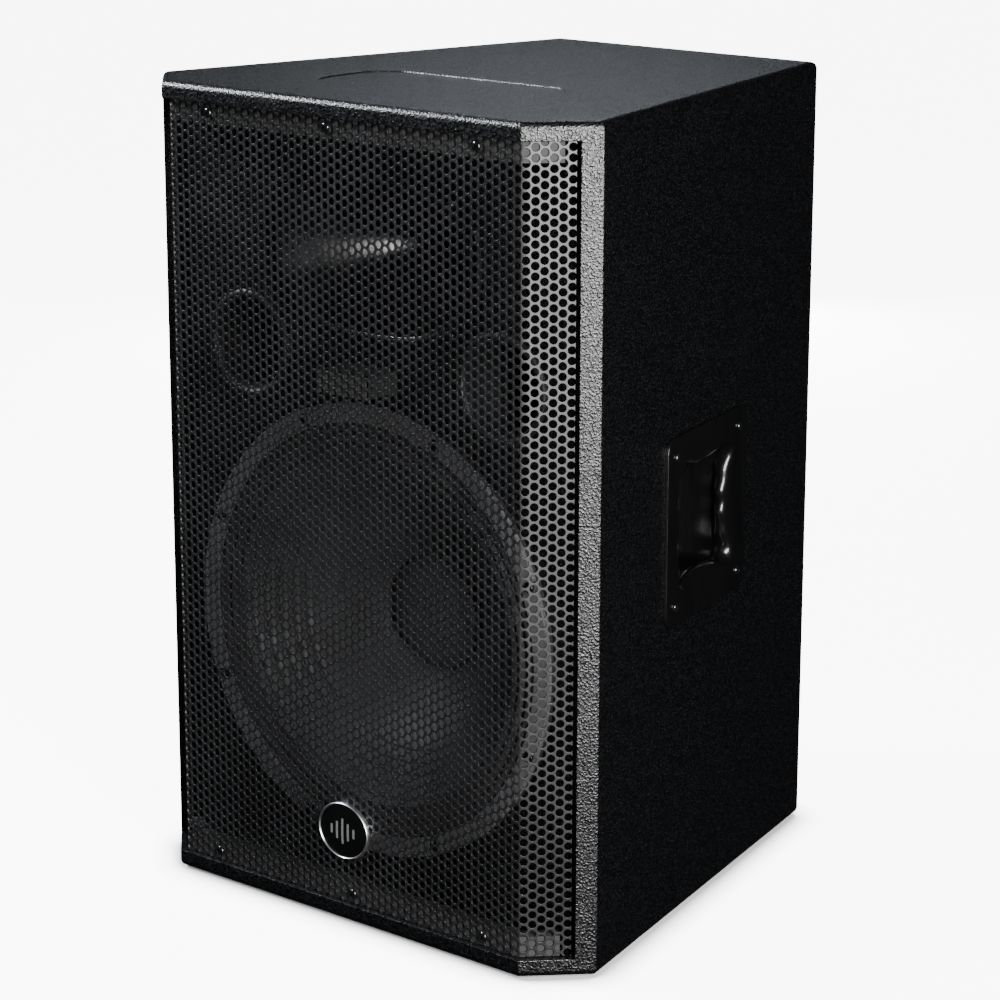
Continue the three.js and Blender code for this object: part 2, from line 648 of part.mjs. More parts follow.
// A square moulded pocket handle. Local X points out of the cabinet's side and Y runs along it.
function handles() {
  const flange = 2.6;
  const opening = 100;
  const waist = 5.5;
  const wall = 2.4;
  const outer = HANDLE_CUTOUT - 1;
  const half = opening / 2;
  const mouth = new THREE.Shape();
  mouth.moveTo(-half, -half);
  mouth.quadraticCurveTo(0, -half + 2 * waist, half, -half);
  mouth.quadraticCurveTo(half - 2 * waist, 0, half, half);
  mouth.quadraticCurveTo(0, half - 2 * waist, -half, half);
  mouth.quadraticCurveTo(-half + 2 * waist, 0, -half, -half);
  const raised = (shape, low, high, curveSegments = 4) => {
    const geometry = new THREE.ExtrudeGeometry(shape, { depth: high - low, bevelEnabled: false, curveSegments });
    geometry.translate(0, 0, low);
    geometry.rotateX(Math.PI / 2);
    geometry.rotateZ(Math.PI / 2);
    return solid(geometry);
  };
  const body = join(
    raised(roundedRectangle(HANDLE_SIZE, HANDLE_SIZE, 12), GAP, GAP + flange),
    raised(roundedRectangle(outer, outer, 11), -HANDLE_DEPTH, GAP + flange),
  );
  const pocket = raised(roundedRectangle(outer - 2 * wall, outer - 2 * wall, 9), -HANDLE_DEPTH + wall, -3);
  const moulding = cut(body, pocket, raised(mouth, -5, flange + 5, 6));
  for (const side of [-1, 1]) {
    const place = {
      position: [side * HANDLE_X, HANDLE_Y, HANDLE_Z],
      turn: side > 0 ? TAPER : Math.PI - TAPER,
    };
    add(side > 0 ? 'handle_right' : 'handle_left', moulding, FINISH.gloss, place);
  }
}

function pole_socket() {
  const rimTop = BOX_LOW + 3;
  const blind = BOX_LOW + POLE_DEPTH;
  const hat = turnedUpright([
    [POLE_RADIUS, BOX_LOW + 0.2],
    [48, BOX_LOW + 0.2],
    [48, rimTop],
    [POLE_RADIUS + 3, rimTop],
    [POLE_RADIUS + 3, blind + 3],
    [0, blind + 3],
    [0, blind],
    [POLE_RADIUS, blind],
  ], 0, POLE_Y, 24);
  add('pole_socket', hat, FINISH.steelBlack);
}

function feet() {
  const spots = [
    ['front_left', -165, -185],
    ['front_right', 165, -185],
    ['rear_left', -115, 190],
    ['rear_right', 115, 190],
  ];
  for (const [name, x, y] of spots) {
    const pad = turnedUpright([[0, 0], [11, 0], [12.5, 1.2], [12.5, BOX_LOW - 0.2], [0, BOX_LOW - 0.2]], x, y, 16);
    add(`foot_${name}`, pad, FINISH.rubber);
  }
}

// ---------------------------------------------------------------- rear connections and crossover
function input_plate() {
  const front = REAR_Y + GAP;
  const spots = [['socket_left', -24], ['socket_right', 24]];
  const sheet = plate(roundedRectangle(130, 88, 5, 0, INPUT_Z), front, 2, 3);
  const holes = spots.map(([, x]) => disc(12.6, front - 5, front + 5, x, INPUT_Z, 16));
  add('input_plate', cut(sheet, ...holes), FINISH.steelBlack);
  for (const [name, x] of spots) {
    const seat = front + 2 + GAP;
    const flange = plate(roundedRectangle(31, 34, 3, x, INPUT_Z), seat, 2.4, 2);
    const barrel = disc(12.2, front - 20, seat + 1, x, INPUT_Z, 16);
    const bore = disc(10, front - 17, seat + 5, x, INPUT_Z, 16);
    add(name, cut(join(flange, barrel), bore), FINISH.plastic);
  }
}

function crossover() {
  const [left, right, front, back] = [-75, 75, 80, 160];
  const boardLow = INNER_LOW + 8;
  const slab = box([left, front, boardLow], [right, back, boardLow + 1.6]);
  const legs = [[left + 6, front + 6], [right - 6, front + 6], [left + 6, back - 6], [right - 6, back - 6]];
  const posts = legs.map(([x, y]) => box([x - 3, y - 3, INNER_LOW + GAP], [x + 3, y + 3, boardLow + 0.5]));
  add('crossover_board', join(slab, ...posts), FINISH.board);
  const seat = boardLow + 1.6 + GAP;
  const winding = [[14, seat], [27, seat], [27, seat + 24], [14, seat + 24]];
  add('crossover_coil', turnedUpright(winding, -38, 120, 24), FINISH.copper);
  const can = new THREE.CylinderGeometry(11, 11, 46, 20);
  can.translate(34, 120, seat + 11);
  add('crossover_capacitor', solid(can), FINISH.plastic);
}

function wadding() {
  const back = REAR_Y - PANEL - 0.5;
  add('acoustic_wadding', box([-112, back - 24, 230], [112, back, 640]), FINISH.wadding);
}

box_panels();
baffle();
grille();
grille_supports();
grille_fixings();
badge();
woofer_basket();
woofer_gasket();
woofer_bolts();
woofer_moving_parts();
woofer_suspension();
woofer_motor();
horn();
compression_driver();
ports();
handles();
pole_socket();
feet();
input_plate();
crossover();
wadding();

export default cabinet;
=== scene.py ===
"""Looks of the PA speaker cabinet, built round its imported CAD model.

Shapes are written in millimetres in the CAD model's frame and become metres in mesh_object().
The camera, the lamps and the floor are in metres.
X runs left to right across the front, Y from the front to the back and Z up.
"""

import json
import math

import bmesh
import bpy
from mathutils import Matrix, Vector


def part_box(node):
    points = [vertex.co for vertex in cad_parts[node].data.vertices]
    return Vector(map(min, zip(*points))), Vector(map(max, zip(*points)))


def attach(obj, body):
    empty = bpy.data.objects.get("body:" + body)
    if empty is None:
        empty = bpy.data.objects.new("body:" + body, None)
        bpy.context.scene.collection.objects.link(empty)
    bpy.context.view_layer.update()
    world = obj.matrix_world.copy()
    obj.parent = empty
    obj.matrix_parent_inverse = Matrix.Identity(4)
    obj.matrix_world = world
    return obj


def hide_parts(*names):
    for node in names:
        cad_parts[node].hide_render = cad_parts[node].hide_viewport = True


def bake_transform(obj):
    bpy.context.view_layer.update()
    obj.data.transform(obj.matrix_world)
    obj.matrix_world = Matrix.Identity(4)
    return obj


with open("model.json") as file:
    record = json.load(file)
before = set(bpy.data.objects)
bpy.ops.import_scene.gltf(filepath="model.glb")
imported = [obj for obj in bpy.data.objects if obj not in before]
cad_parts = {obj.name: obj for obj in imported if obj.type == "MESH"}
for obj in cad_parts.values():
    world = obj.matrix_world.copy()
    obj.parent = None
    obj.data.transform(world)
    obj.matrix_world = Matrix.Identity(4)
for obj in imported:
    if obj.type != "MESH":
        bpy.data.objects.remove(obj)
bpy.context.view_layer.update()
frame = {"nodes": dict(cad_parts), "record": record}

MM = 0.001
CABINET = "cabinet"
CONE = "woofer_moving_assembly"


def box_mm(node):
    """Lowest and highest corner of a CAD node, in millimetres."""
    low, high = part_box(node)
    return Vector(low) / MM, Vector(high) / MM


def centre_mm(node):
    low, high = box_mm(node)
    return (low + high) / 2


# ---------------- camera, lights and floor
LENS = 113.88
CAMERA_AT = (1.6977, -2.0434, 1.0145)
CAMERA_AZIMUTH, CAMERA_ELEVATION, CAMERA_ROLL = 40.101, 14.661, 0.092
ROOM_LIGHT = 0.014
FLOOR_GLOW = 8.0
FLOOR_REACH = 30
SHADOW_REACH = 0.03


def add_camera():
    data = bpy.data.cameras.new("camera")
    data.lens = LENS
    data.sensor_width = 36
    data.clip_end = 50
    camera = bpy.data.objects.new("camera", data)
    azimuth, elevation = math.radians(CAMERA_AZIMUTH), math.radians(CAMERA_ELEVATION)
    look = Vector((
        -math.sin(azimuth) * math.cos(elevation),
        math.cos(azimuth) * math.cos(elevation),
        -math.sin(elevation),
    ))
    turn = look.to_track_quat("-Z", "Y").to_matrix().to_4x4()
    roll = Matrix.Rotation(math.radians(CAMERA_ROLL), 4, "Z")
    camera.matrix_world = Matrix.Translation(CAMERA_AT) @ turn @ roll
    bpy.context.collection.objects.link(camera)
    bpy.context.scene.camera = camera


def add_light(name, at, target, size, power, colour=(1, 1, 1)):
    """A softbox: a rectangular lamp that faces its target."""
    data = bpy.data.lights.new(name, "AREA")
    data.shape = "RECTANGLE"
    data.size, data.size_y = size
    data.energy = power
    data.color = colour
    lamp = bpy.data.objects.new(name, data)
    lamp.location = at
    lamp.rotation_euler = (Vector(target) - Vector(at)).to_track_quat("-Z", "Y").to_euler()
    lamp.visible_camera = False
    bpy.context.collection.objects.link(lamp)


def add_world():
    """White where the camera looks past the floor, and a dim bluish room for lighting the object."""
    world = bpy.data.worlds.new("studio")
    world.use_nodes = True
    tree = world.node_tree
    room = tree.nodes["Background"]
    room.inputs["Color"].default_value = (0.85, 0.92, 1.0, 1)
    room.inputs["Strength"].default_value = ROOM_LIGHT
    backdrop = tree.nodes.new("ShaderNodeBackground")
    backdrop.inputs["Color"].default_value = (1, 1, 1, 1)
    backdrop.inputs["Strength"].default_value = FLOOR_GLOW
    seen = tree.nodes.new("ShaderNodeLightPath")
    mix = tree.nodes.new("ShaderNodeMixShader")
    tree.links.new(seen.outputs["Is Camera Ray"], mix.inputs["Fac"])
    tree.links.new(room.outputs["Background"], mix.inputs[1])
    tree.links.new(backdrop.outputs["Background"], mix.inputs[2])
    tree.links.new(mix.outputs["Shader"], tree.nodes["World Output"].inputs["Surface"])
    bpy.context.scene.world = world


def add_studio():
    """Four softboxes, and a bright floor that neither mirrors in the black cabinet nor lights it.

    The key lamp stands right of the camera and the edge lamp at the upper left. The top lamp hangs high
    and the rear lamp stands low, both behind on the left.
    """
    add_world()
    add_light("key_softbox", (1.75, -1.15, 0.78), (0.2, -0.2, 0.5), (0.45, 1.25), 135)
    add_light("top_softbox", (-1.5, 1.9, 2.5), (0, 0, 0.69), (0.7, 0.7), 12, (0.86, 0.92, 1.0))
    add_light("edge_softbox", (-1.75, -0.95, 1.8), (0, -0.2, 0.69), (0.5, 0.5), 120, (0.9, 0.94, 1.0))
    add_light("rear_softbox", (-1.6, 2.0, 0.36), (0, 0.2, 0.36), (0.8, 0.5), 40)
    corners = [(x * FLOOR_REACH, y * FLOOR_REACH, 0) for x, y in ((-1, -1), (1, -1), (1, 1), (-1, 1))]
    mesh = bpy.data.meshes.new("floor")
    mesh.from_pydata(corners, [], [(0, 1, 2, 3)])
    mesh.materials.append(pale_floor())
    floor = bpy.data.objects.new("floor", mesh)
    floor.visible_glossy = False
    floor.visible_diffuse = False
    bpy.context.collection.objects.link(floor)


# ---------------- materials
def new_material(name):
    material = bpy.data.materials.new(name)
    material.use_nodes = True
    return material, material.node_tree, material.node_tree.nodes["Principled BSDF"]


def pale_floor():
    """A glowing white floor that darkens close to the object, as its contact shadow."""
    material, tree, shader = new_material("pale_floor")
    shader.inputs["Base Color"].default_value = (0.9, 0.9, 0.9, 1)
    shader.inputs["Roughness"].default_value = 0.9
    shader.inputs["Emission Color"].default_value = (1, 1, 1, 1)
    shadow = tree.nodes.new("ShaderNodeAmbientOcclusion")
    shadow.samples = 16
    shadow.inputs["Distance"].default_value = SHADOW_REACH
    glow = ramp(tree, shadow.outputs["AO"], 0.0, FLOOR_GLOW, 0.5, 1.0)
    tree.links.new(glow, shader.inputs["Emission Strength"])
    return material


def pattern(tree, kind, scale, stretch=(1, 1, 1), **values):
    """A noise, voronoi or wave texture in the object's own coordinates. Scale is repeats per metre."""
    place = tree.nodes.new("ShaderNodeTexCoord")
    mapping = tree.nodes.new("ShaderNodeMapping")
    mapping.inputs["Scale"].default_value = stretch
    tree.links.new(place.outputs["Object"], mapping.inputs["Vector"])
    texture = tree.nodes.new(kind)
    texture.inputs["Scale"].default_value = scale
    for key, value in values.items():
        texture.inputs[key].default_value = value
    tree.links.new(mapping.outputs["Vector"], texture.inputs["Vector"])
    return texture


def ramp(tree, source, low, high, start=0.0, end=1.0):
    """Maps a texture's value onto a range of numbers."""
    spread = tree.nodes.new("ShaderNodeMapRange")
    spread.inputs["From Min"].default_value = start
    spread.inputs["From Max"].default_value = end
    spread.inputs["To Min"].default_value = low
    spread.inputs["To Max"].default_value = high
    tree.links.new(source, spread.inputs["Value"])
    return spread.outputs["Result"]


def roughen(tree, shader, source, low, high, start=0.3, end=0.7):
    """Varies a shader's roughness with a texture."""
    tree.links.new(ramp(tree, source, low, high, start, end), shader.inputs["Roughness"])


def tint(tree, shader, source, dark, light, start=0.3, end=0.7):
    """Colours a shader with a blend of two colours that follows a texture."""
    blend = tree.nodes.new("ShaderNodeValToRGB")
    blend.color_ramp.elements[0].position = start
    blend.color_ramp.elements[0].color = (*dark, 1)
    blend.color_ramp.elements[1].position = end
    blend.color_ramp.elements[1].color = (*light, 1)
    tree.links.new(source, blend.inputs["Fac"])
    tree.links.new(blend.outputs["Color"], shader.inputs["Base Color"])


def bump(tree, shader, source, strength, distance_mm, under=None):
    """Raises a shader's surface with a texture, on top of another node's normal if there is one."""
    node = tree.nodes.new("ShaderNodeBump")
    node.inputs["Strength"].default_value = strength
    node.inputs["Distance"].default_value = distance_mm * MM
    tree.links.new(source, node.inputs["Height"])
    if under:
        tree.links.new(under, node.inputs["Normal"])
    tree.links.new(node.outputs["Normal"], shader.inputs["Normal"])


def surface(name, dark, light, rough, grain, depth_mm, strength=0.5, specular=0.5, stretch=(1, 1, 1)):
    """A grained finish: a fine noise for its two tones and its bump, and a slow one for its roughness."""
    material, tree, shader = new_material(name)
    shader.inputs["Specular IOR Level"].default_value = specular
    fine = pattern(tree, "ShaderNodeTexNoise", grain, stretch, Detail=4.0, Roughness=0.6)
    slow = pattern(tree, "ShaderNodeTexNoise", grain / 40, stretch, Detail=2.0)
    tint(tree, shader, fine.outputs["Fac"], dark, light)
    roughen(tree, shader, slow.outputs["Fac"], *rough)
    bump(tree, shader, fine.outputs["Fac"], strength, depth_mm)
    return material


def textured_paint():
    """Hard black structure paint, rolled on: a fine grain, glossy on its crests, with pale specks painted
    into its colour as glints of grains catching the light.
    """
    # the pale colour is a painted glint: specks that stand in for grains catching the light
    painted_glint, black_paint = (0.032, 0.033, 0.036), (0.0007, 0.0007, 0.0009)
    material, tree, shader = new_material("textured_paint")
    grains = pattern(tree, "ShaderNodeTexNoise", 540, Detail=1.5, Roughness=0.5)
    glint_dots = pattern(tree, "ShaderNodeTexVoronoi", 600, Randomness=1.0)
    # painted glints: small pale dots of colour scattered over the black paint
    tint(tree, shader, glint_dots.outputs["Distance"], painted_glint, black_paint, 0.12, 0.28)
    roughen(tree, shader, grains.outputs["Fac"], 0.42, 0.24, 0.38, 0.64)
    bump(tree, shader, grains.outputs["Fac"], 0.9, 0.9)
    return material


def powder_coat():
    """Satin black powder coat on the perforated sheet, rounded over the rims of the holes."""
    material, tree, shader = new_material("powder_coat")
    peel = pattern(tree, "ShaderNodeTexNoise", 420, Detail=2.0)
    drift = pattern(tree, "ShaderNodeTexNoise", 14, Detail=3.0)
    tint(tree, shader, drift.outputs["Fac"], (0.004, 0.004, 0.0043), (0.007, 0.007, 0.0075))
    roughen(tree, shader, drift.outputs["Fac"], 0.38, 0.46, 0.35, 0.65)
    rounded = tree.nodes.new("ShaderNodeBevel")
    rounded.samples = 6
    rounded.inputs["Radius"].default_value = 0.6 * MM
    bump(tree, shader, peel.outputs["Fac"], 0.18, 0.12, rounded.outputs["Normal"])
    return material


def gloss_moulding(name):
    """Polished black injection moulding, with faint flow marks and fine scuffs in the gloss."""
    material, tree, shader = new_material(name)
    shader.inputs["Specular IOR Level"].default_value = 0.4
    flow = pattern(tree, "ShaderNodeTexNoise", 22, (1, 1, 0.4), Detail=3.0, Distortion=0.6)
    scuffs = pattern(tree, "ShaderNodeTexNoise", 260, (1, 1, 0.1), Detail=5.0)
    tint(tree, shader, flow.outputs["Fac"], (0.0016, 0.0016, 0.00168), (0.00288, 0.00288, 0.00304))
    roughen(tree, shader, scuffs.outputs["Fac"], 0.2, 0.28, 0.4, 0.75)
    bump(tree, shader, flow.outputs["Fac"], 0.05, 0.3)
    return material


def woven_cloth(name, dark, light):
    """Doped cloth: two crossed sets of fine threads."""
    material, tree, shader = new_material(name)
    shader.inputs["Roughness"].default_value = 0.8
    warp = pattern(tree, "ShaderNodeTexWave", 260, Distortion=0.6, Detail=1.0)
    weft = pattern(tree, "ShaderNodeTexWave", 260, Distortion=0.6, Detail=1.0)
    weft.bands_direction = "Z"
    cross = tree.nodes.new("ShaderNodeMath")
    cross.operation = "MAXIMUM"
    tree.links.new(warp.outputs["Fac"], cross.inputs[0])
    tree.links.new(weft.outputs["Fac"], cross.inputs[1])
    tint(tree, shader, cross.outputs["Value"], dark, light, 0.2, 0.9)
    bump(tree, shader, cross.outputs["Value"], 0.4, 0.2)
    return material


def cone_paper(name, dark, light, rough):
    """Pressed pulp with short fibres laid at random and a thin coating."""
    material, tree, shader = new_material(name)
    fibres = pattern(
        tree, "ShaderNodeTexNoise", 300, (1, 1, 0.35), Detail=6.0, Roughness=0.7, Distortion=1.2,
    )
    mottle = pattern(tree, "ShaderNodeTexNoise", 40, Detail=3.0)
    tint(tree, shader, fibres.outputs["Fac"], dark, light, 0.3, 0.75)
    roughen(tree, shader, mottle.outputs["Fac"], *rough)
    bump(tree, shader, fibres.outputs["Fac"], 0.35, 0.25)
    return material


def turned_metal(name, colour, rough, axis_grain=(1, 1, 1), grain=90):
    """Bare metal with faint marks in its colour, its polish and its surface."""
    material, tree, shader = new_material(name)
    shader.inputs["Metallic"].default_value = 1.0
    marks = pattern(tree, "ShaderNodeTexNoise", grain, axis_grain, Detail=4.0)
    light = tuple(min(1.0, c * 1.15) for c in colour)
    tint(tree, shader, marks.outputs["Fac"], colour, light)
    roughen(tree, shader, marks.outputs["Fac"], *rough)
    bump(tree, shader, marks.outputs["Fac"], 0.06, 0.05)
    return material


def black(level):
    """A black with a trace of blue."""
    return level, level, level * 1.04


def make_materials():
    """The procedural materials, by the names of the CAD record's slots and of the pieces made here."""
    return {
        "cabinet_paint": textured_paint(),
        "batten_wood": surface(
            "batten_board", (0.013, 0.0128, 0.0122), (0.025, 0.0245, 0.0235), (0.65, 0.8), 420, 0.15, 0.35,
            stretch=(0.25, 1, 1),
        ),
        "grille_steel": powder_coat(),
        "black_steel": surface("black_steel", black(0.012), black(0.022), (0.35, 0.5), 500, 0.06, 0.3),
        "screw_steel": surface(
            "screw_steel", black(0.0015), black(0.005), (0.14, 0.24), 400, 0.02, 0.15, specular=0.8,
        ),
        "chrome_trim": turned_metal("chrome_trim", (0.78, 0.79, 0.81), (0.24, 0.34)),
        "gloss_black": gloss_moulding("gloss_moulding"),
        "badge_face": gloss_moulding("badge_face"),
        "black_plastic": surface("black_plastic", black(0.003), black(0.006), (0.42, 0.55), 700, 0.08, 0.3),
        "rubber_foot": surface("rubber_foot", black(0.012), black(0.02), (0.75, 0.9), 300, 0.2, 0.3),
        "gasket_board": surface(
            "gasket_board", (0.05, 0.05, 0.051), (0.085, 0.085, 0.087), (0.75, 0.9), 380, 0.25, 0.5,
        ),
        "cone_paper": cone_paper("cone_paper", (0.016, 0.0165, 0.0175), (0.04, 0.041, 0.043), (0.5, 0.65)),
        "cap_paper": cone_paper("cap_paper", (0.026, 0.027, 0.028), (0.056, 0.057, 0.06), (0.42, 0.55)),
        "surround_cloth": woven_cloth("surround_cloth", (0.004, 0.004, 0.0045), (0.011, 0.011, 0.012)),
        "spider_cloth": woven_cloth("spider_cloth", (0.25, 0.18, 0.08), (0.42, 0.32, 0.17)),
        "motor_steel": turned_metal("motor_steel", (0.5, 0.5, 0.52), (0.28, 0.42)),
        "ferrite": surface(
            "ferrite", (0.035, 0.035, 0.038), (0.06, 0.06, 0.064), (0.55, 0.7), 260, 0.15, 0.4,
        ),
        "diaphragm_metal": turned_metal("diaphragm_metal", (0.62, 0.62, 0.64), (0.2, 0.34)),
        "copper_winding": turned_metal("copper_winding", (0.62, 0.30, 0.14), (0.25, 0.4), (1, 30, 1), 60),
        "circuit_board": surface(
            "circuit_board", (0.012, 0.085, 0.03), (0.02, 0.13, 0.05), (0.35, 0.45), 120, 0.05, 0.2,
        ),
        "wadding": surface("wadding", (0.52, 0.51, 0.48), (0.72, 0.71, 0.68), (0.9, 1.0), 180, 2.0, 0.8),
        "bare_brass": turned_metal("bare_brass", (0.72, 0.52, 0.24), (0.2, 0.32)),
        "silver_print": surface(
            "silver_print", (0.09, 0.09, 0.093), (0.13, 0.13, 0.134), (0.35, 0.45), 500, 0.02, 0.2,
        ),
    }


# ---------------- mesh making
def mesh_object(name, vertices, faces, sharp_degrees=35):
    """A mesh from points in millimetres, smooth but for edges sharper than the angle."""
    mesh = bpy.data.meshes.new(name)
    mesh.from_pydata([tuple(Vector(v) * MM) for v in vertices], [], faces)
    work = bmesh.new()
    work.from_mesh(mesh)
    bmesh.ops.remove_doubles(work, verts=work.verts, dist=1e-6)
    bmesh.ops.recalc_face_normals(work, faces=work.faces)
    work.to_mesh(mesh)
    work.free()
    obj = bpy.data.objects.new(name, mesh)
    bpy.context.collection.objects.link(obj)
    smooth(obj, sharp_degrees)
    return obj


def smooth(obj, sharp_degrees):
    """Shades an object smooth but for edges sharper than the angle."""
    obj.data.shade_smooth()
    obj.data.set_sharp_from_angle(angle=math.radians(sharp_degrees))


def finish_piece(obj, material, slot, *nodes, body=CABINET):
    """Gives a piece its material, makes it ride, and hides the CAD nodes it stands for."""
    obj.data.materials.clear()
    obj.data.materials.append(MATERIALS[material])
    if body:
        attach(obj, body)
    if nodes:
        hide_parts(*nodes)
    return obj


def grid_faces(rows, columns, wrap_rows=False):
    """Quads over a grid of points stored row by row, each row a closed loop."""
    faces = []
    for i in range(rows if wrap_rows else rows - 1):
        below = (i + 1) % rows
        for k in range(columns):
            right = (k + 1) % columns
            here, next_row = i * columns, below * columns
            faces.append((here + k, here + right, next_row + right, next_row + k))
    return faces


def loft(name, loops, sharp_degrees=35, closed=True, caps=False):
    """Joins loops of equal length, the last to the first if closed, or with end caps."""
    columns = len(loops[0])
    faces = grid_faces(len(loops), columns, wrap_rows=closed)
    if caps:
        faces.append(tuple(range(columns)))
        last = (len(loops) - 1) * columns
        faces.append(tuple(last + k for k in reversed(range(columns))))
    return mesh_object(name, [p for loop in loops for p in loop], faces, sharp_degrees)


def ring(radius, y, centre, sides):
    """A circle round an axis that runs front to back."""
    angles = [2 * math.pi * k / sides for k in range(sides)]
    return [(centre.x + radius * math.cos(a), y, centre.z + radius * math.sin(a)) for a in angles]


def turned(name, profile, centre, sides=96, sharp_degrees=35, closed=True):
    """A (radius, y) profile turned about a front-to-back axis.

    A profile that isn't closed starts and ends on the axis.
    """
    if closed:
        return loft(name, [ring(r, y, centre, sides) for r, y in profile], sharp_degrees)
    loops = [ring(r, y, centre, sides) for r, y in profile if r > 0]
    vertices = [p for loop in loops for p in loop]
    faces = grid_faces(len(loops), sides)
    for end, start in ((profile[0], 0), (profile[-1], (len(loops) - 1) * sides)):
        vertices.append((centre.x, end[1], centre.z))
        tip = len(vertices) - 1
        faces += [(tip, start + k, start + (k + 1) % sides) for k in range(sides)]
    return mesh_object(name, vertices, faces, sharp_degrees)


def circle(centre, radius, sides):
    """A circle round an upright axis, as (x, y) points."""
    angles = [2 * math.pi * k / sides for k in range(sides)]
    return [(centre.x + radius * math.cos(a), centre.y + radius * math.sin(a)) for a in angles]


def rounded_rectangle(width, height, radius, steps=6):
    """Corner arcs of a rectangle about (0, 0), as (x, y) points."""
    points = []
    for quarter, (sx, sy) in enumerate(((1, 1), (-1, 1), (-1, -1), (1, -1))):
        for step in range(steps + 1):
            angle = math.pi / 2 * (quarter + step / steps)
            points.append((
                sx * (width / 2 - radius) + radius * math.cos(angle),
                sy * (height / 2 - radius) + radius * math.sin(angle),
            ))
    return points


def join(name, pieces):
    """Merges several objects into one."""
    work = bmesh.new()
    for piece in pieces:
        piece.data.transform(piece.matrix_world)
        work.from_mesh(piece.data)
        bpy.data.objects.remove(piece)
    mesh = bpy.data.meshes.new(name)
    work.to_mesh(mesh)
    work.free()
    obj = bpy.data.objects.new(name, mesh)
    bpy.context.collection.objects.link(obj)
    smooth(obj, 35)
    return obj


def cut(obj, cutters):
    """Takes each cutter out of an object and removes the cutters."""
    for cutter in cutters:
        modifier = obj.modifiers.new("cut", "BOOLEAN")
        modifier.operation = "DIFFERENCE"
        modifier.solver = "EXACT"
        modifier.object = cutter
    apply_modifiers(obj)
    for cutter in cutters:
        bpy.data.objects.remove(cutter)
    return obj


def apply_modifiers(obj):
    """Makes an object's modifiers part of its mesh."""
    depsgraph = bpy.context.evaluated_depsgraph_get()
    depsgraph.update()
    final = bpy.data.meshes.new_from_object(obj.evaluated_get(depsgraph))
    obj.modifiers.clear()
    obj.data = final


def soften(obj, width_mm, segments=2, angle=40):
    """Rounds an object's sharp edges a little, and keeps flat faces flat."""
    bevel = obj.modifiers.new("soften", "BEVEL")
    bevel.width = width_mm * MM
    bevel.segments = segments
    bevel.limit_method = "ANGLE"
    bevel.angle_limit = math.radians(angle)
    bevel.use_clamp_overlap = True
    apply_modifiers(obj)
    smooth(obj, 30)
    weights = obj.modifiers.new("flat_faces", "WEIGHTED_NORMAL")
    weights.keep_sharp = True
    apply_modifiers(obj)
    return obj


def prism(name, outline, low, high):
    """An (x, y) outline raised between two heights."""
    return loft(name, [[(x, y, z) for x, y in outline] for z in (low, high)], closed=False, caps=True)


# ---------------- cabinet
HALF_WIDTH = 237
PANEL = 15
CHAMFER = 45
TAPER = math.radians(12.75)
EDGE_RADIUS = 6
CORNER_RADIUS = 2
RECESS_WIDTH, RECESS_DEPTH, RECESS_CORNER = 214, 96, 30
RECESS_Y = -103
WINDOW_INSET = 13
POLE_SEAT_RADIUS = 48.4
POLE_BORE_RADIUS = 21.5
HANDLE_ALONG = 200  # behind the side's front edge
HANDLE_HOLE, HANDLE_HOLE_CORNER = 116, 12


def outer_corners():
    """The cabinet's plan: the front, the 45 degree corners, the tapered sides and the back."""
    front, back = box_mm("top_panel")[0].y, box_mm("side_panel_right")[1].y
    side_y = front + CHAMFER
    half_rear = HALF_WIDTH - (back - side_y) * math.tan(TAPER)
    right = [(HALF_WIDTH - CHAMFER, front), (HALF_WIDTH, side_y), (half_rear, back)]
    return right + [(-x, y) for x, y in reversed(right)]


def inset_outline(corners, inset, radius, steps=4):
    """The outline moved in by a distance, with rounded corners, always with the same number of points."""
    count = len(corners)
    moved = []
    for i in range(count):
        before, here, after = (Vector((*corners[(i + k) % count], 0)) for k in (-1, 0, 1))
        into, out = (here - before).normalized(), (after - here).normalized()
        inward = (Vector((-into.y, into.x, 0)) + Vector((-out.y, out.x, 0))).normalized()
        half = into.angle(out) / 2
        moved.append((here + inward * inset / math.cos(half), into, out, half))
    points = []
    for corner, into, out, half in moved:
        reach = radius * math.tan(half)
        start, end = corner - into * reach, corner + out * reach
        for step in range(steps + 1):
            t = step / steps
            points.append(((1 - t) ** 2 * start + 2 * t * (1 - t) * corner + t * t * end)[:2])
    return points


def side_frame():
    """The matrix that puts (out of the side, along it, up) at the right handle's centre, in millimetres."""
    corner = Vector((HALF_WIDTH, box_mm("top_panel")[0].y + CHAMFER, 0))
    along = Vector((-math.sin(TAPER), math.cos(TAPER), 0))
    centre = corner + along * HANDLE_ALONG
    centre.z = centre_mm("handle_right").z
    return Matrix.Translation(centre) @ Matrix.Rotation(TAPER, 4, "Z")


def mirror_x(obj):
    """The object's mirror copy about the cabinet's middle plane."""
    other = obj.copy()
    other.data = obj.data.copy()
    other.data.transform(Matrix.Diagonal((-1, 1, 1, 1)))
    other.data.flip_normals()
    bpy.context.collection.objects.link(other)
    return other


def on_side(points):
    """Points given as (out, along, up) moved to the right side."""
    matrix = side_frame()
    return [tuple(matrix @ Vector(p)) for p in points]


def rounded_block(corners, low, high, steps=6):
    """The cabinet's outer shape: its plan between two heights, rounded over along the top and bottom."""
    rounding = []
    for k in range(steps + 1):
        turn = math.pi / 2 * k / steps
        rounding.append((EDGE_RADIUS * (1 - math.sin(turn)), EDGE_RADIUS * (1 - math.cos(turn))))
    levels = [(inset, low + rise) for inset, rise in rounding]
    levels += [(inset, high - rise) for inset, rise in reversed(rounding)]
    loops = []
    for inset, z in levels:
        outline = inset_outline(corners, inset, max(CORNER_RADIUS - inset, 0.4))
        loops.append([(x, y, z) for x, y in outline])
    return loft("cabinet_shell", loops, closed=False, caps=True)


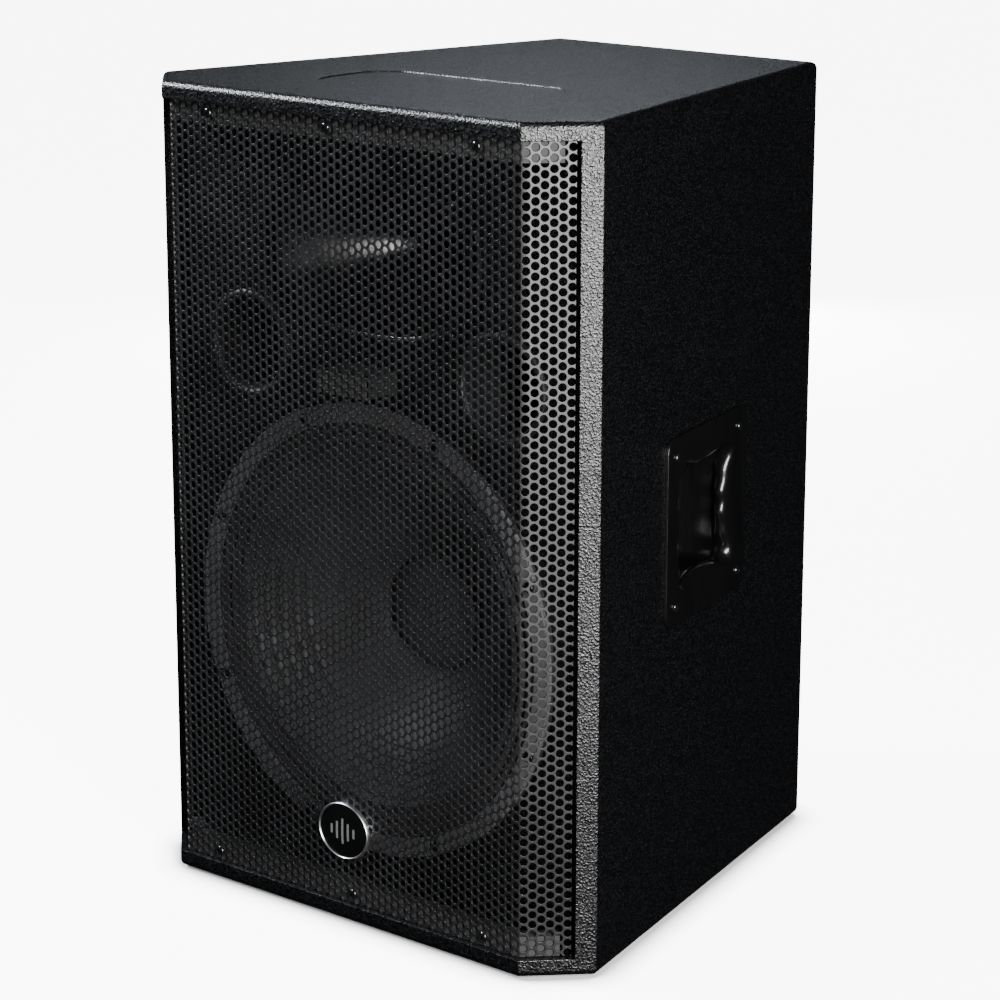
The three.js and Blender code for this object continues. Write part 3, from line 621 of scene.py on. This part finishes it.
def inner_space(corners, low, high):
    """The space between the panels, open at the front."""
    wall = PANEL / math.cos(TAPER)
    side_y = corners[1][1]
    front, back = corners[0][1] - 20, corners[2][1] - PANEL
    wide, narrow = (HALF_WIDTH - (y - side_y) * math.tan(TAPER) - wall for y in (front, back))
    outline = [(-wide, front), (wide, front), (narrow, back), (-narrow, back)]
    return prism("cavity", outline, low + PANEL, high - PANEL)


def top_recess(high):
    """The shallow plain recess in the top, with a softened rim."""
    loops = []
    for grow, z in ((0, high - 1.6), (0.5, high - 1.3), (1.4, high + 1)):
        width, depth = RECESS_WIDTH + 2 * grow, RECESS_DEPTH + 2 * grow
        outline = rounded_rectangle(width, depth, RECESS_CORNER + grow, 10)
        loops.append([(x, y + RECESS_Y, z) for x, y in outline])
    return loft("recess", loops, closed=False, caps=True)


def handle_opening():
    """The hole in the right side that the handle's pocket passes through."""
    hole = rounded_rectangle(HANDLE_HOLE, HANDLE_HOLE, HANDLE_HOLE_CORNER)
    loops = [on_side([(out, y, z) for y, z in hole]) for out in (-40, 10)]
    return loft("handle_hole", loops, closed=False, caps=True)


def input_window(inner_face):
    """The hole in the rear panel behind the input plate."""
    low, high = box_mm("input_plate")
    left, right = low.x + WINDOW_INSET, high.x - WINDOW_INSET
    bottom, top = low.z + WINDOW_INSET, high.z - WINDOW_INSET
    outline = [(left, bottom), (right, bottom), (right, top), (left, top)]
    loops = [[(x, y, z) for x, z in outline] for y in (inner_face - 5, inner_face + 2 * PANEL)]
    return loft("window", loops, closed=False, caps=True)


def cabinet_shell():
    """The five panels as one shell, with its openings cut and their edges softened."""
    low, high = box_mm("bottom_panel")[0].z, box_mm("top_panel")[1].z
    corners = outer_corners()
    handle_hole = handle_opening()
    pole = centre_mm("pole_socket")
    shell = cut(rounded_block(corners, low, high), [
        inner_space(corners, low, high),
        top_recess(high),
        mirror_x(handle_hole),
        handle_hole,
        input_window(corners[2][1] - PANEL),
        prism("seat", circle(pole, POLE_SEAT_RADIUS, 64), low - 5, low + 3.3),
        prism("bore", circle(pole, POLE_BORE_RADIUS, 48), low - 6, low + PANEL + 5),
    ])
    soften(shell, 0.9)
    nodes = ["top_panel", "bottom_panel", "side_panel_left", "side_panel_right", "rear_panel"]
    finish_piece(shell, "cabinet_paint", "cabinet_paint", *nodes)


# ---------------- grille
HOLE_PITCH = 8.22
HOLE_RADIUS = 3.3
FIRST_ROW = 3  # above the sheet's lower edge
COLUMN = HOLE_PITCH * math.sqrt(3) / 2
SHEET = 1.5
WING = 43.2  # from each fold to the side edge
FOLD_RADIUS = 6


def grille_bend():
    """A function from (distance across, depth behind it) to plan (x, y), and the sheet's half width."""
    low, high = box_mm("grille")
    fold_x, face_y = high.x - WING * math.sqrt(0.5), low.y
    arc = FOLD_RADIUS * math.pi / 4
    setback = FOLD_RADIUS * math.tan(math.pi / 8)

    def place(u, depth):
        side, u = (1 if u >= 0 else -1), abs(u)
        start = fold_x - setback
        past = u - start
        turn = min(max(past / FOLD_RADIUS, 0), math.pi / 4)
        x = min(u, start) + FOLD_RADIUS * math.sin(turn)
        y = face_y + FOLD_RADIUS * (1 - math.cos(turn))
        run = max(past - arc, 0)
        x += run * math.cos(turn) - depth * math.sin(turn)
        y += run * math.sin(turn) + depth * math.cos(turn)
        return side * x, y

    return place, fold_x - setback + arc + WING - setback


def perforated_half(name, side, reach, bottom, top, place):
    """One half of the sheet: hexagonal cells round holes, trimmed at the edges, thickened and bent."""
    work = bmesh.new()
    shared = {}

    def corner(x, z):
        key = (round(x, 3), round(z, 3))
        if key not in shared:
            shared[key] = work.verts.new((x, 0, z))
        return shared[key]

    cell = HOLE_PITCH / math.sqrt(3)
    columns = range(0, int(reach / COLUMN) + 2) if side > 0 else range(-int(reach / COLUMN) - 1, 0)
    rows = int((top - bottom) / HOLE_PITCH) + 2
    for column in columns:
        x = column * COLUMN
        for row in range(-1, rows):
            z = bottom + HOLE_PITCH * (row + 0.5 * (column % 2)) + FIRST_ROW
            rim = []
            for k in range(12):
                angle = math.radians(30 * k)
                rim_x, rim_z = x + HOLE_RADIUS * math.cos(angle), z + HOLE_RADIUS * math.sin(angle)
                rim.append(work.verts.new((rim_x, 0, rim_z)))
            for k in range(6):
                near, far = math.radians(60 * k), math.radians(60 * k + 60)
                a = corner(x + cell * math.cos(near), z + cell * math.sin(near))
                b = corner(x + cell * math.cos(far), z + cell * math.sin(far))
                work.faces.new((a, b, rim[(2 * k + 2) % 12], rim[2 * k + 1], rim[2 * k]))
    edges = [((0, 0, bottom), (0, 0, -1)), ((0, 0, top), (0, 0, 1)), ((side * reach, 0, 0), (side, 0, 0))]
    for at, outward in edges:
        everything = work.verts[:] + work.edges[:] + work.faces[:]
        bmesh.ops.bisect_plane(
            work, geom=everything, plane_co=at, plane_no=outward, clear_outer=True, dist=1e-4,
        )
    mesh = bpy.data.meshes.new(name)
    work.to_mesh(mesh)
    work.free()
    obj = bpy.data.objects.new(name, mesh)
    bpy.context.collection.objects.link(obj)
    thick = obj.modifiers.new("sheet", "SOLIDIFY")
    thick.thickness = SHEET
    thick.offset = 0
    apply_modifiers(obj)
    for vertex in obj.data.vertices:
        x, y = place(vertex.co.x, vertex.co.y + SHEET / 2)
        vertex.co = Vector((x, y, vertex.co.z)) * MM
    work = bmesh.new()
    work.from_mesh(obj.data)
    bmesh.ops.recalc_face_normals(work, faces=work.faces)
    work.to_mesh(obj.data)
    work.free()
    smooth(obj, 40)
    return obj


def grille():
    low, high = box_mm("grille")
    place, reach = grille_bend()
    for name, side in (("grille_left", -1), ("grille_right", 1)):
        half = perforated_half(name, side, reach, low.z, high.z, place)
        nodes = ["grille"] if side > 0 else []
        finish_piece(half, "grille_steel", "grille_steel", *nodes)


def pan_screw(name, node, radius, height, turn):
    """A domed screw head with a cross recess. It faces the front until the matrix turns it."""
    profile = [(0, -height)]
    for k in range(1, 7):
        angle = math.pi / 2 * k / 6
        profile.append((radius * math.sin(angle) ** 0.9, -height * (0.25 + 0.75 * math.cos(angle))))
    profile += [(radius, 0), (0, 0)]
    head = turned(name, profile, Vector((0, 0, 0)), 40, closed=False)
    arm, wide = radius * 0.55, radius * 0.15
    corners = ((-1, -1), (1, -1), (1, 1), (-1, 1))
    cutters = []
    for across, up in ((arm, wide), (wide, arm)):
        loops = []
        for y, k in ((-height * 1.5, 1.0), (-height * 0.35, 0.55)):
            loops.append([(sx * across * k, y, sz * up * k) for sx, sz in corners])
        cutters.append(loft("recess", loops, closed=False, caps=True))
    cut(head, cutters)
    smooth(head, 35)
    head.data.transform(Matrix.Scale(MM, 4) @ turn @ Matrix.Scale(1 / MM, 4))
    return finish_piece(head, "screw_steel", "black_steel", *([node] if node else []))


def grille_screws():
    radius, height = 4.2, 2.6
    spins = (0.3, 0.9, -0.2, 0.6, 0.1, 1.1)
    places = [f"{row}_{place}" for row in ("top", "bottom") for place in ("left", "middle", "right")]
    for place, spin in zip(places, spins):
        node = f"grille_screw_{place}"
        low, high = box_mm(node)
        centre = (low + high) / 2
        turn = Matrix.Translation((centre.x, low.y + height, centre.z)) @ Matrix.Rotation(spin, 4, "Y")
        pan_screw(node + "_head", node, radius, height, turn)


# ---------------- badge
BAR_HEIGHTS = (8, 15, 22, 15, 8)
BAR_PITCH = 5.4
BAR_HALF_WIDTH = 0.9


def badge():
    """The oval badge: a bright rim, a domed black face and plain bars. It is turned round, then widened."""
    low, high = box_mm("badge_rim")
    centre, back, front = (low + high) / 2, high.y, low.y
    radius = (high.z - low.z) / 2
    stretch = (high.x - low.x) / (high.z - low.z)
    place = Matrix.Translation(centre * MM)
    widen = place @ Matrix.Diagonal((stretch, 1, 1, 1)) @ place.inverted()

    def finish_wide(obj, *arguments):
        obj.data.transform(widen)
        finish_piece(obj, *arguments)

    band, bead, swell = 1.7, 0.8, 1.2
    rim = [(radius - band, back), (radius, back), (radius, front + 1.8)]
    for k in range(1, 9):
        angle = math.pi * k / 8
        rim.append((radius - bead + bead * math.cos(angle), front + swell - swell * math.sin(angle)))
    rim.append((radius - band, front + 2.0))
    finish_wide(turned("badge_rim_ring", rim, centre, 96), "chrome_trim", "chrome_trim", "badge_rim")

    face = radius - 1.8
    crown, edge = box_mm("badge_dome")[0].y, front + swell

    def dome_y(r):
        return edge - (edge - crown) * (1 - (r / face) ** 2)

    dome = [(0, back), (face, back), (face, edge)]
    dome += [(face * k / 10, dome_y(face * k / 10)) for k in range(9, -1, -1)]
    black_face = turned("badge_face", dome, centre, 96, closed=False)
    finish_wide(black_face, "badge_face", "gloss_black", "badge_dome")

    bars = []
    for k, tall in enumerate(BAR_HEIGHTS):
        x = (k - 2) * BAR_PITCH
        left, right = centre.x + x - BAR_HALF_WIDTH, centre.x + x + BAR_HALF_WIDTH
        loops = []
        for row in range(7):
            z = tall * (row / 6 - 0.5)
            y = dome_y(math.hypot(x, z))
            section = [(left, y + 0.3), (right, y + 0.3), (right, y - 0.22), (left, y - 0.22)]
            loops.append([(across, depth, centre.z + z) for across, depth in section])
        bars.append(loft("bar", loops, closed=False, caps=True))
    finish_wide(join("badge_bars", bars), "silver_print", "chrome_trim")


# ---------------- woofer
GASKET_INNER = 176.2
BOLT_CIRCLE = 185
HALF_BOLT_GAP = 4.6
CONE_NECK = 38.1
RIBS_OUTER, RIBS_INNER, RIB_PITCH = 147, 103, 8.8
SURROUND_OUTER = 175.6
SPIDER_INNER = 38.6


def woofer_centre():
    return centre_mm("woofer_gasket")


def gasket():
    """A thin ring with a thicker segment between each bolt and the next."""
    low, high = box_mm("woofer_gasket")
    centre, outer = woofer_centre(), (high.x - low.x) / 2
    inner, base = GASKET_INNER, high.y - 1
    plate = [(inner, high.y), (outer, high.y), (outer, base), (inner, base)]
    pieces = [turned("gasket_base", plate, centre, 192)]
    gap = HALF_BOLT_GAP / BOLT_CIRCLE
    steps = 24
    section = [
        (inner, base),
        (inner + 0.2, low.y + 0.9),
        (inner + 1.1, low.y),
        (outer - 1.1, low.y),
        (outer - 0.2, low.y + 0.9),
        (outer, base),
    ]
    for k in range(8):
        first = math.radians(22.5 + 45 * k)
        start, end = first + gap, first + math.pi / 4 - gap
        loops = []
        for step in range(steps + 1):
            angle = start + (end - start) * step / steps
            c, s = math.cos(angle), math.sin(angle)
            loops.append([(centre.x + r * c, y, centre.z + r * s) for r, y in section])
        pieces.append(loft("segment", loops, closed=False, caps=True))
    finish_piece(join("gasket_ring", pieces), "gasket_board", "gasket_board", "woofer_gasket")


def woofer_bolts():
    """Socket-head bolts, each with a hexagonal recess."""
    for k in range(8):
        node = f"woofer_bolt_{k + 1}"
        low, high = box_mm(node)
        centre, radius = (low + high) / 2, (high.x - low.x) / 2
        front, back = low.y, low.y + 3.4
        profile = [(0, back), (radius, back), (radius, front + 0.5), (radius - 0.5, front), (0, front)]
        head = turned(node + "_head", profile, centre, 32, closed=False)
        hexagon = [ring(2.3, y, centre, 6) for y in (front - 1, front + 2)]
        cut(head, [loft("hexagon", hexagon, closed=False, caps=True)])
        smooth(head, 30)
        finish_piece(head, "screw_steel", "black_steel", node)


def cone_line(t):
    """The cone's front face as (radius, y), from 0 at the surround to 1 at the neck, bowed a little."""
    low, high = box_mm("woofer_cone")
    outer = (high.x - low.x) / 2
    front, neck = low.y, high.y - 1.2
    return outer + (CONE_NECK - outer) * t, front + (neck - front) * t + 4.5 * math.sin(math.pi * t)


def ribbed_cone_line(t, lift):
    """The cone's line with its pressed ribs, lifted backwards for the back face."""
    r, y = cone_line(t)
    if RIBS_INNER < r < RIBS_OUTER:
        phase = (RIBS_OUTER - r) / RIB_PITCH
        y -= 1.5 * max(0, math.sin(2 * math.pi * phase)) ** 1.5
    return r, y + lift


def cone():
    steps = 150
    front = [ribbed_cone_line(k / steps, 0) for k in range(steps + 1)]
    back = [ribbed_cone_line(k / steps, 1.0) for k in range(steps, -1, -6)]
    piece = turned("cone_ribbed", front + back, woofer_centre(), 128, 60)
    finish_piece(piece, "cone_paper", "cone_paper", "woofer_cone", body=CONE)


def dust_cap():
    """A thin dome with a skirt where it is glued to the cone."""
    low, high = box_mm("dust_cap")
    radius = (high.x - low.x) / 2
    crown, edge = low.y, high.y
    steps = 16
    outside = []
    for k in range(steps + 1):
        angle = math.pi / 2 * k / steps
        fall = 1 - math.cos(angle) ** 1.3
        outside.append((radius * math.sin(angle), crown + (edge - 1.2 - crown) * fall))
    inside = [(max(r - 0.8, 0), y + 0.8) for r, y in reversed(outside)]
    skirt = [(radius + 2.4, edge - 0.4), (radius + 2.2, edge + 0.3)]
    piece = turned("dust_cap_dome", outside + skirt + inside, woofer_centre(), 96, closed=False)
    finish_piece(piece, "cap_paper", "cone_paper", "dust_cap", body=CONE)


def suspension(name, inner, outer, rolls, swing, sides):
    """A corrugated ring between a fixed outer edge and an inner edge that moves with the cone."""
    (inner_r, inner_y), (outer_r, outer_y) = inner, outer
    flat = 0.1
    steps = rolls * 14

    def line(t, lift):
        r = outer_r + (inner_r - outer_r) * t
        s = min(max((t - flat) / (1 - 2 * flat), 0), 1)
        wave = swing * math.sin(2 * math.pi * rolls * s) * math.sin(math.pi * s) ** 0.4
        return r, outer_y + (inner_y - outer_y) * s - wave + lift

    front = [line(k / steps, 0) for k in range(steps + 1)]
    back = [line(k / steps, 0.7) for k in range(steps, -1, -1)]
    return turned(name, front + back, woofer_centre(), sides, 60)


def blend_to_cone(piece):
    """Bakes a suspension's placement into its mesh."""
    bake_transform(piece)


def suspensions():
    flange = box_mm("woofer_basket")[0].y
    cone_radius, cone_y = cone_line(0)
    surround_inner, surround_outer = (cone_radius - 2, cone_y - 1.0), (SURROUND_OUTER, flange - 1.0)
    surround = suspension("surround_rolls", surround_inner, surround_outer, 2, 1.7, 128)
    finish_piece(surround, "surround_cloth", "surround_cloth", "woofer_surround", body=None)
    blend_to_cone(surround)
    low, high = box_mm("spider")
    spider_inner, spider_outer = (SPIDER_INNER, high.y + 2.5), ((high.x - low.x) / 2, low.y - 1)
    spider = suspension("spider_rings", spider_inner, spider_outer, 5, 1.2, 96)
    finish_piece(spider, "spider_cloth", "surround_cloth", "spider", body=None)
    blend_to_cone(spider)


# ---------------- horn and ports
HORN_SIDES = 128


def oval(half_width, half_height, power, y, centre):
    """A rounded oval in the plane of the front. A power of 2 is an ellipse, and a higher one is squarer."""
    points = []
    for k in range(HORN_SIDES):
        angle = 2 * math.pi * k / HORN_SIDES
        c, s = math.cos(angle), math.sin(angle)
        points.append((
            centre.x + math.copysign(abs(c) ** (2 / power), c) * half_width,
            y,
            centre.z + math.copysign(abs(s) ** (2 / power), s) * half_height,
        ))
    return points


def horn():
    """The waveguide, from its round throat to its oval mouth, with a rolled lip and a flange."""
    low, high = box_mm("horn")
    centre = (low + high) / 2
    half_width, half_height, throat = 103.5, 62, 12.7
    mouth_power = 2.6
    lip, lip_grow, skin = 1.5, 3, 2.6
    front, back = low.y, high.y
    seat = front + 4

    def inside(t, grow=0):
        opening = (1 - t) ** 1.2
        across = throat + (half_width - throat) * opening + grow
        up = throat + (half_height - throat) * opening + grow
        return oval(across, up, 2 + 0.6 * opening, front + lip + (back - front - lip) * t, centre)

    def mouth(grow, y):
        return oval(half_width + grow, half_height + grow, mouth_power, y, centre)

    steps = 36
    loops = [inside(k / steps) for k in range(steps, -1, -1)]
    for k in range(1, 7):
        angle = math.pi / 2 * k / 6
        loops.append(mouth(lip_grow * math.sin(angle), front + lip - lip * math.sin(angle)))
    for grow, y in ((12, front), (13.4, front + 0.5), (14, front + 1.6), (14, seat), (2.2, seat)):
        loops.append(mouth(grow, y))
    loops += [inside(k / 12, skin) for k in range(1, 13)]
    finish_piece(loft("horn_waveguide", loops), "gloss_black", "gloss_black", "horn")


def horn_screws():
    radius, height = 4, 2.6
    for place in ("top_left", "top_right", "bottom_left", "bottom_right"):
        node = f"horn_screw_{place}"
        low, high = box_mm(node)
        centre = (low + high) / 2
        turn = Matrix.Translation((centre.x, low.y + height, centre.z))
        pan_screw(node + "_head", node, radius, height, turn)


def ports():
    """Two port tubes, each with a flared mouth."""
    flare, flare_depth, wall = 5, 10, 2.6
    for side in ("left", "right"):
        node = f"port_tube_{side}"
        low, high = box_mm(node)
        centre, outer = (low + high) / 2, (high.x - low.x) / 2
        bore, seat, front, back = outer - 9, low.y + 4, low.y, high.y
        profile = [(bore, back), (bore, front + flare_depth + 2)]
        for k in range(9):
            angle = math.pi / 2 * k / 8
            r = bore + flare * (1 - math.cos(angle))
            profile.append((r, front + flare_depth - flare_depth * math.sin(angle)))
        profile += [(outer - 1.6, front + 0.6), (outer - 0.4, front + 1.6), (outer, seat)]
        profile += [(bore + wall, seat), (bore + wall, back)]
        piece = turned(f"port_flare_{side}", profile, centre, 96)
        finish_piece(piece, "black_plastic", "black_plastic", node)


# ---------------- handles
HANDLE_SIZE, HANDLE_CORNER = 160, 12
HANDLE_FLANGE = 2.6
HANDLE_DEPTH = 62
HANDLE_SCREWS = 63


def pinched(half, waist, up, steps=28, corner=11, grip=0):
    """A square outline whose sides bow inwards, with rounded corners, and finger waves in its rear side."""
    straight = half - corner
    points = []
    for quarter in range(4):
        turn = Matrix.Rotation(math.pi / 2 * quarter, 2)
        side = []
        for step in range(steps + 1):
            s = -1 + 2 * (step / steps)
            waves = grip * (1 - s * s) * math.cos(4 * math.pi * s) if quarter == 0 else 0
            side.append((half - waist * (1 - s * s) + waves, s * straight))
        for step in range(1, 6):
            angle = math.pi / 2 * step / 6
            side.append((straight + corner * math.cos(angle), straight + corner * math.sin(angle)))
        points += [tuple(turn @ Vector(p)) for p in side]
    return [(up, y, z) for y, z in points]


def handle_loops():
    """The handle's outlines: over its flange, through the pinched mouth and down to the pocket's floor."""
    edge, corner, flange, floor = HANDLE_SIZE / 2, HANDLE_CORNER, HANDLE_FLANGE, -HANDLE_DEPTH

    def square(half, radius, up):
        return pinched(half, 0, up, corner=radius)

    return [
        square(edge - 3, corner - 2, 0.3),
        square(edge, corner, 0.3),
        square(edge, corner, flange - 0.6),
        square(edge - 0.2, corner, flange - 0.2),
        square(edge - 0.7, corner - 0.5, flange),
        square(edge - 8, corner - 1, flange),
        pinched(55, -11, flange),
        pinched(54.5, -9.5, flange - 0.25),
        pinched(53.5, -4, flange - 1.2),
        pinched(52.3, 1, flange - 2.8, grip=0.2),
        pinched(51.2, 4.5, flange - 5.2, grip=0.5),
        pinched(50.4, 5.8, flange - 8.2, grip=0.8),
        pinched(50, 6.0, -9, grip=1.1),
        pinched(51, 4.5, -12, grip=1.1),
        pinched(53, 2, -15, grip=0.6),
        square(55, 10, -20),
        square(54, 10, floor + 16),
        square(50, 12, floor + 6),
        square(42, 14, floor + 2.4),
        square(20, 8, floor + 2.4),
    ]


def handles():
    """Both handle mouldings and their screws, the left ones mirrored from the right."""
    loops = [on_side(loop) for loop in handle_loops()]
    right = loft("handle_moulding_right", loops, 50, closed=False)
    work = bmesh.new()
    work.from_mesh(right.data)
    work.verts.ensure_lookup_table()
    count = len(loops[0])
    last = (len(loops) - 1) * count
    work.faces.new([work.verts[last + k] for k in range(count)])
    bmesh.ops.recalc_face_normals(work, faces=work.faces)
    work.to_mesh(right.data)
    work.free()
    smooth(right, 50)
    left = mirror_x(right)
    left.name = "handle_moulding_left"
    finish_piece(right, "gloss_black", "gloss_black", "handle_right")
    finish_piece(left, "gloss_black", "gloss_black", "handle_left")
    side, facing = side_frame(), Matrix.Rotation(math.pi / 2, 4, "Z")
    for i, (sx, sz) in enumerate(((-1, -1), (1, -1), (-1, 1), (1, 1))):
        spot = Matrix.Translation((HANDLE_FLANGE, sx * HANDLE_SCREWS, sz * HANDLE_SCREWS))
        turn = side @ spot @ facing @ Matrix.Rotation(0.4 * i, 4, "Y")
        screw = pan_screw(f"handle_screw_right_{i + 1}", None, 4.4, 2.8, turn)
        other = mirror_x(screw)
        other.name = f"handle_screw_left_{i + 1}"
        finish_piece(other, "screw_steel", "black_steel")


# ---------------- rear plate and sockets
SOCKETS = ("left", "right")
SOCKET_HOLE = 12.6
BARREL_RADIUS = 12.2
SOCKET_BORE = 10
POST_RADIUS = 6.2
FACE_REAR = Matrix.Rotation(math.pi, 4, "Z")


def drum(name, radius, spot, front, back):
    """A plain round block whose axis runs front to back."""
    return loft(name, [ring(radius, y, spot, 48) for y in (front, back)], closed=False, caps=True)


def input_plate():
    """The rear plate, with a softened edge and a hole for each socket."""
    low, high = box_mm("input_plate")
    centre, width, height = (low + high) / 2, high.x - low.x, high.z - low.z
    outline = rounded_rectangle(width, height, 5)
    loops = []
    for y, shrink in ((low.y, 0), (high.y - 0.5, 0), (high.y, 0.5)):
        kx, kz = 1 - 2 * shrink / width, 1 - 2 * shrink / height
        loops.append([(centre.x + x * kx, y, centre.z + z * kz) for x, z in outline])
    sheet = loft("input_plate_sheet", loops, closed=False, caps=True)
    holes = []
    for side in SOCKETS:
        holes.append(drum("hole", SOCKET_HOLE, centre_mm(f"socket_{side}"), low.y - 3, high.y + 3))
    cut(sheet, holes)
    smooth(sheet, 30)
    finish_piece(sheet, "black_steel", "black_steel", "input_plate")


def speaker_socket(side):
    """A round speaker socket: a square flange, a bore with two keyways and a post in its middle."""
    low, high = box_mm(f"socket_{side}")
    spot, rear = centre_mm(f"socket_{side}"), high.y
    outline = rounded_rectangle(high.x - low.x, high.z - low.z, 3)
    loops = []
    for y, k in ((rear - 2.4, 1), (rear - 0.6, 1), (rear, 0.96)):
        loops.append([(spot.x + x * k, y, spot.z + z * k) for x, z in outline])
    flange = loft("flange", loops, closed=False, caps=True)
    barrel = drum("barrel", BARREL_RADIUS, spot, low.y, rear - 1.2)
    cutters = [drum("bore", SOCKET_BORE, spot, low.y + 3, rear + 2)]
    key = [(x, z + SOCKET_BORE + 0.6) for x, z in rounded_rectangle(5, 3.4, 0.6)]
    for angle in (math.pi / 2, -math.pi / 2):
        c, s = math.cos(angle), math.sin(angle)
        loops = []
        for y in (rear - 9, rear + 2):
            loops.append([(spot.x + x * c - z * s, y, spot.z + x * s + z * c) for x, z in key])
        cutters.append(loft("key", loops, closed=False, caps=True))
    body = cut(join("body", [flange, barrel]), cutters)
    floor, tip = low.y + 3, rear - 2.0
    radius = POST_RADIUS
    profile = [(0, floor), (radius, floor), (radius, tip - 0.6), (radius - 0.6, tip), (0, tip)]
    post = turned("post", profile, spot, 40, closed=False)
    socket = join(f"speaker_socket_{side}", [body, post])
    soften(socket, 0.25, 1)
    finish_piece(socket, "black_plastic", "black_plastic", f"socket_{side}")
    socket_contacts(side, spot, rear)
    for i, (dx, dz) in enumerate(((-12, 13.2), (12, -13.2))):
        spin = FACE_REAR @ Matrix.Rotation(0.5 + i, 4, "Y")
        turn = Matrix.Translation((spot.x + dx, rear, spot.z + dz)) @ spin @ Matrix.Translation((0, 1.1, 0))
        pan_screw(f"socket_screw_{side}_{i + 1}", None, 2.2, 1.2, turn)


def socket_contacts(side, spot, rear):
    """Two brass strips let into the wall of the bore."""
    outer, inner, half_angle = SOCKET_BORE - 0.05, SOCKET_BORE - 0.6, 0.12
    contacts = []
    for turn in (0.8, 0.8 + math.pi):
        start, end = turn - half_angle, turn + half_angle
        corners = [(outer, start), (outer, end), (inner, end), (inner, start)]
        loops = []
        for y in (rear - 12, rear - 5):
            loops.append([(spot.x + r * math.cos(a), y, spot.z + r * math.sin(a)) for r, a in corners])
        contacts.append(loft("contact", loops, closed=False, caps=True))
    finish_piece(join(f"socket_contacts_{side}", contacts), "bare_brass", "copper_winding")


def plate_screws():
    low, high = box_mm("input_plate")
    centre = (low + high) / 2
    for i, (sx, sz) in enumerate(((-1, -1), (1, -1), (-1, 1), (1, 1))):
        spot = Matrix.Translation((centre.x + sx * 58, high.y, centre.z + sz * 37))
        turn = spot @ FACE_REAR @ Matrix.Rotation(0.7 * i, 4, "Y")
        pan_screw(f"plate_screw_{i + 1}", None, 3.4, 2.0, turn)


# ---------------- the CAD nodes that stay
def paint_cad_nodes():
    """Each CAD node that still shows gets the procedural material of its slot."""
    slots = {part["node"]: part["material_slot"] for part in frame["record"]["subparts"]}
    for name, obj in frame["nodes"].items():
        if obj.hide_render:
            continue
        material = MATERIALS[slots[name]]
        for place in obj.material_slots:
            place.link = "OBJECT"
            place.material = material


MATERIALS = make_materials()
add_camera()
add_studio()
cabinet_shell()
grille()
grille_screws()
badge()
gasket()
woofer_bolts()
cone()
dust_cap()
suspensions()
horn()
horn_screws()
ports()
handles()
input_plate()
for side in SOCKETS:
    speaker_socket(side)
plate_screws()
paint_cad_nodes()
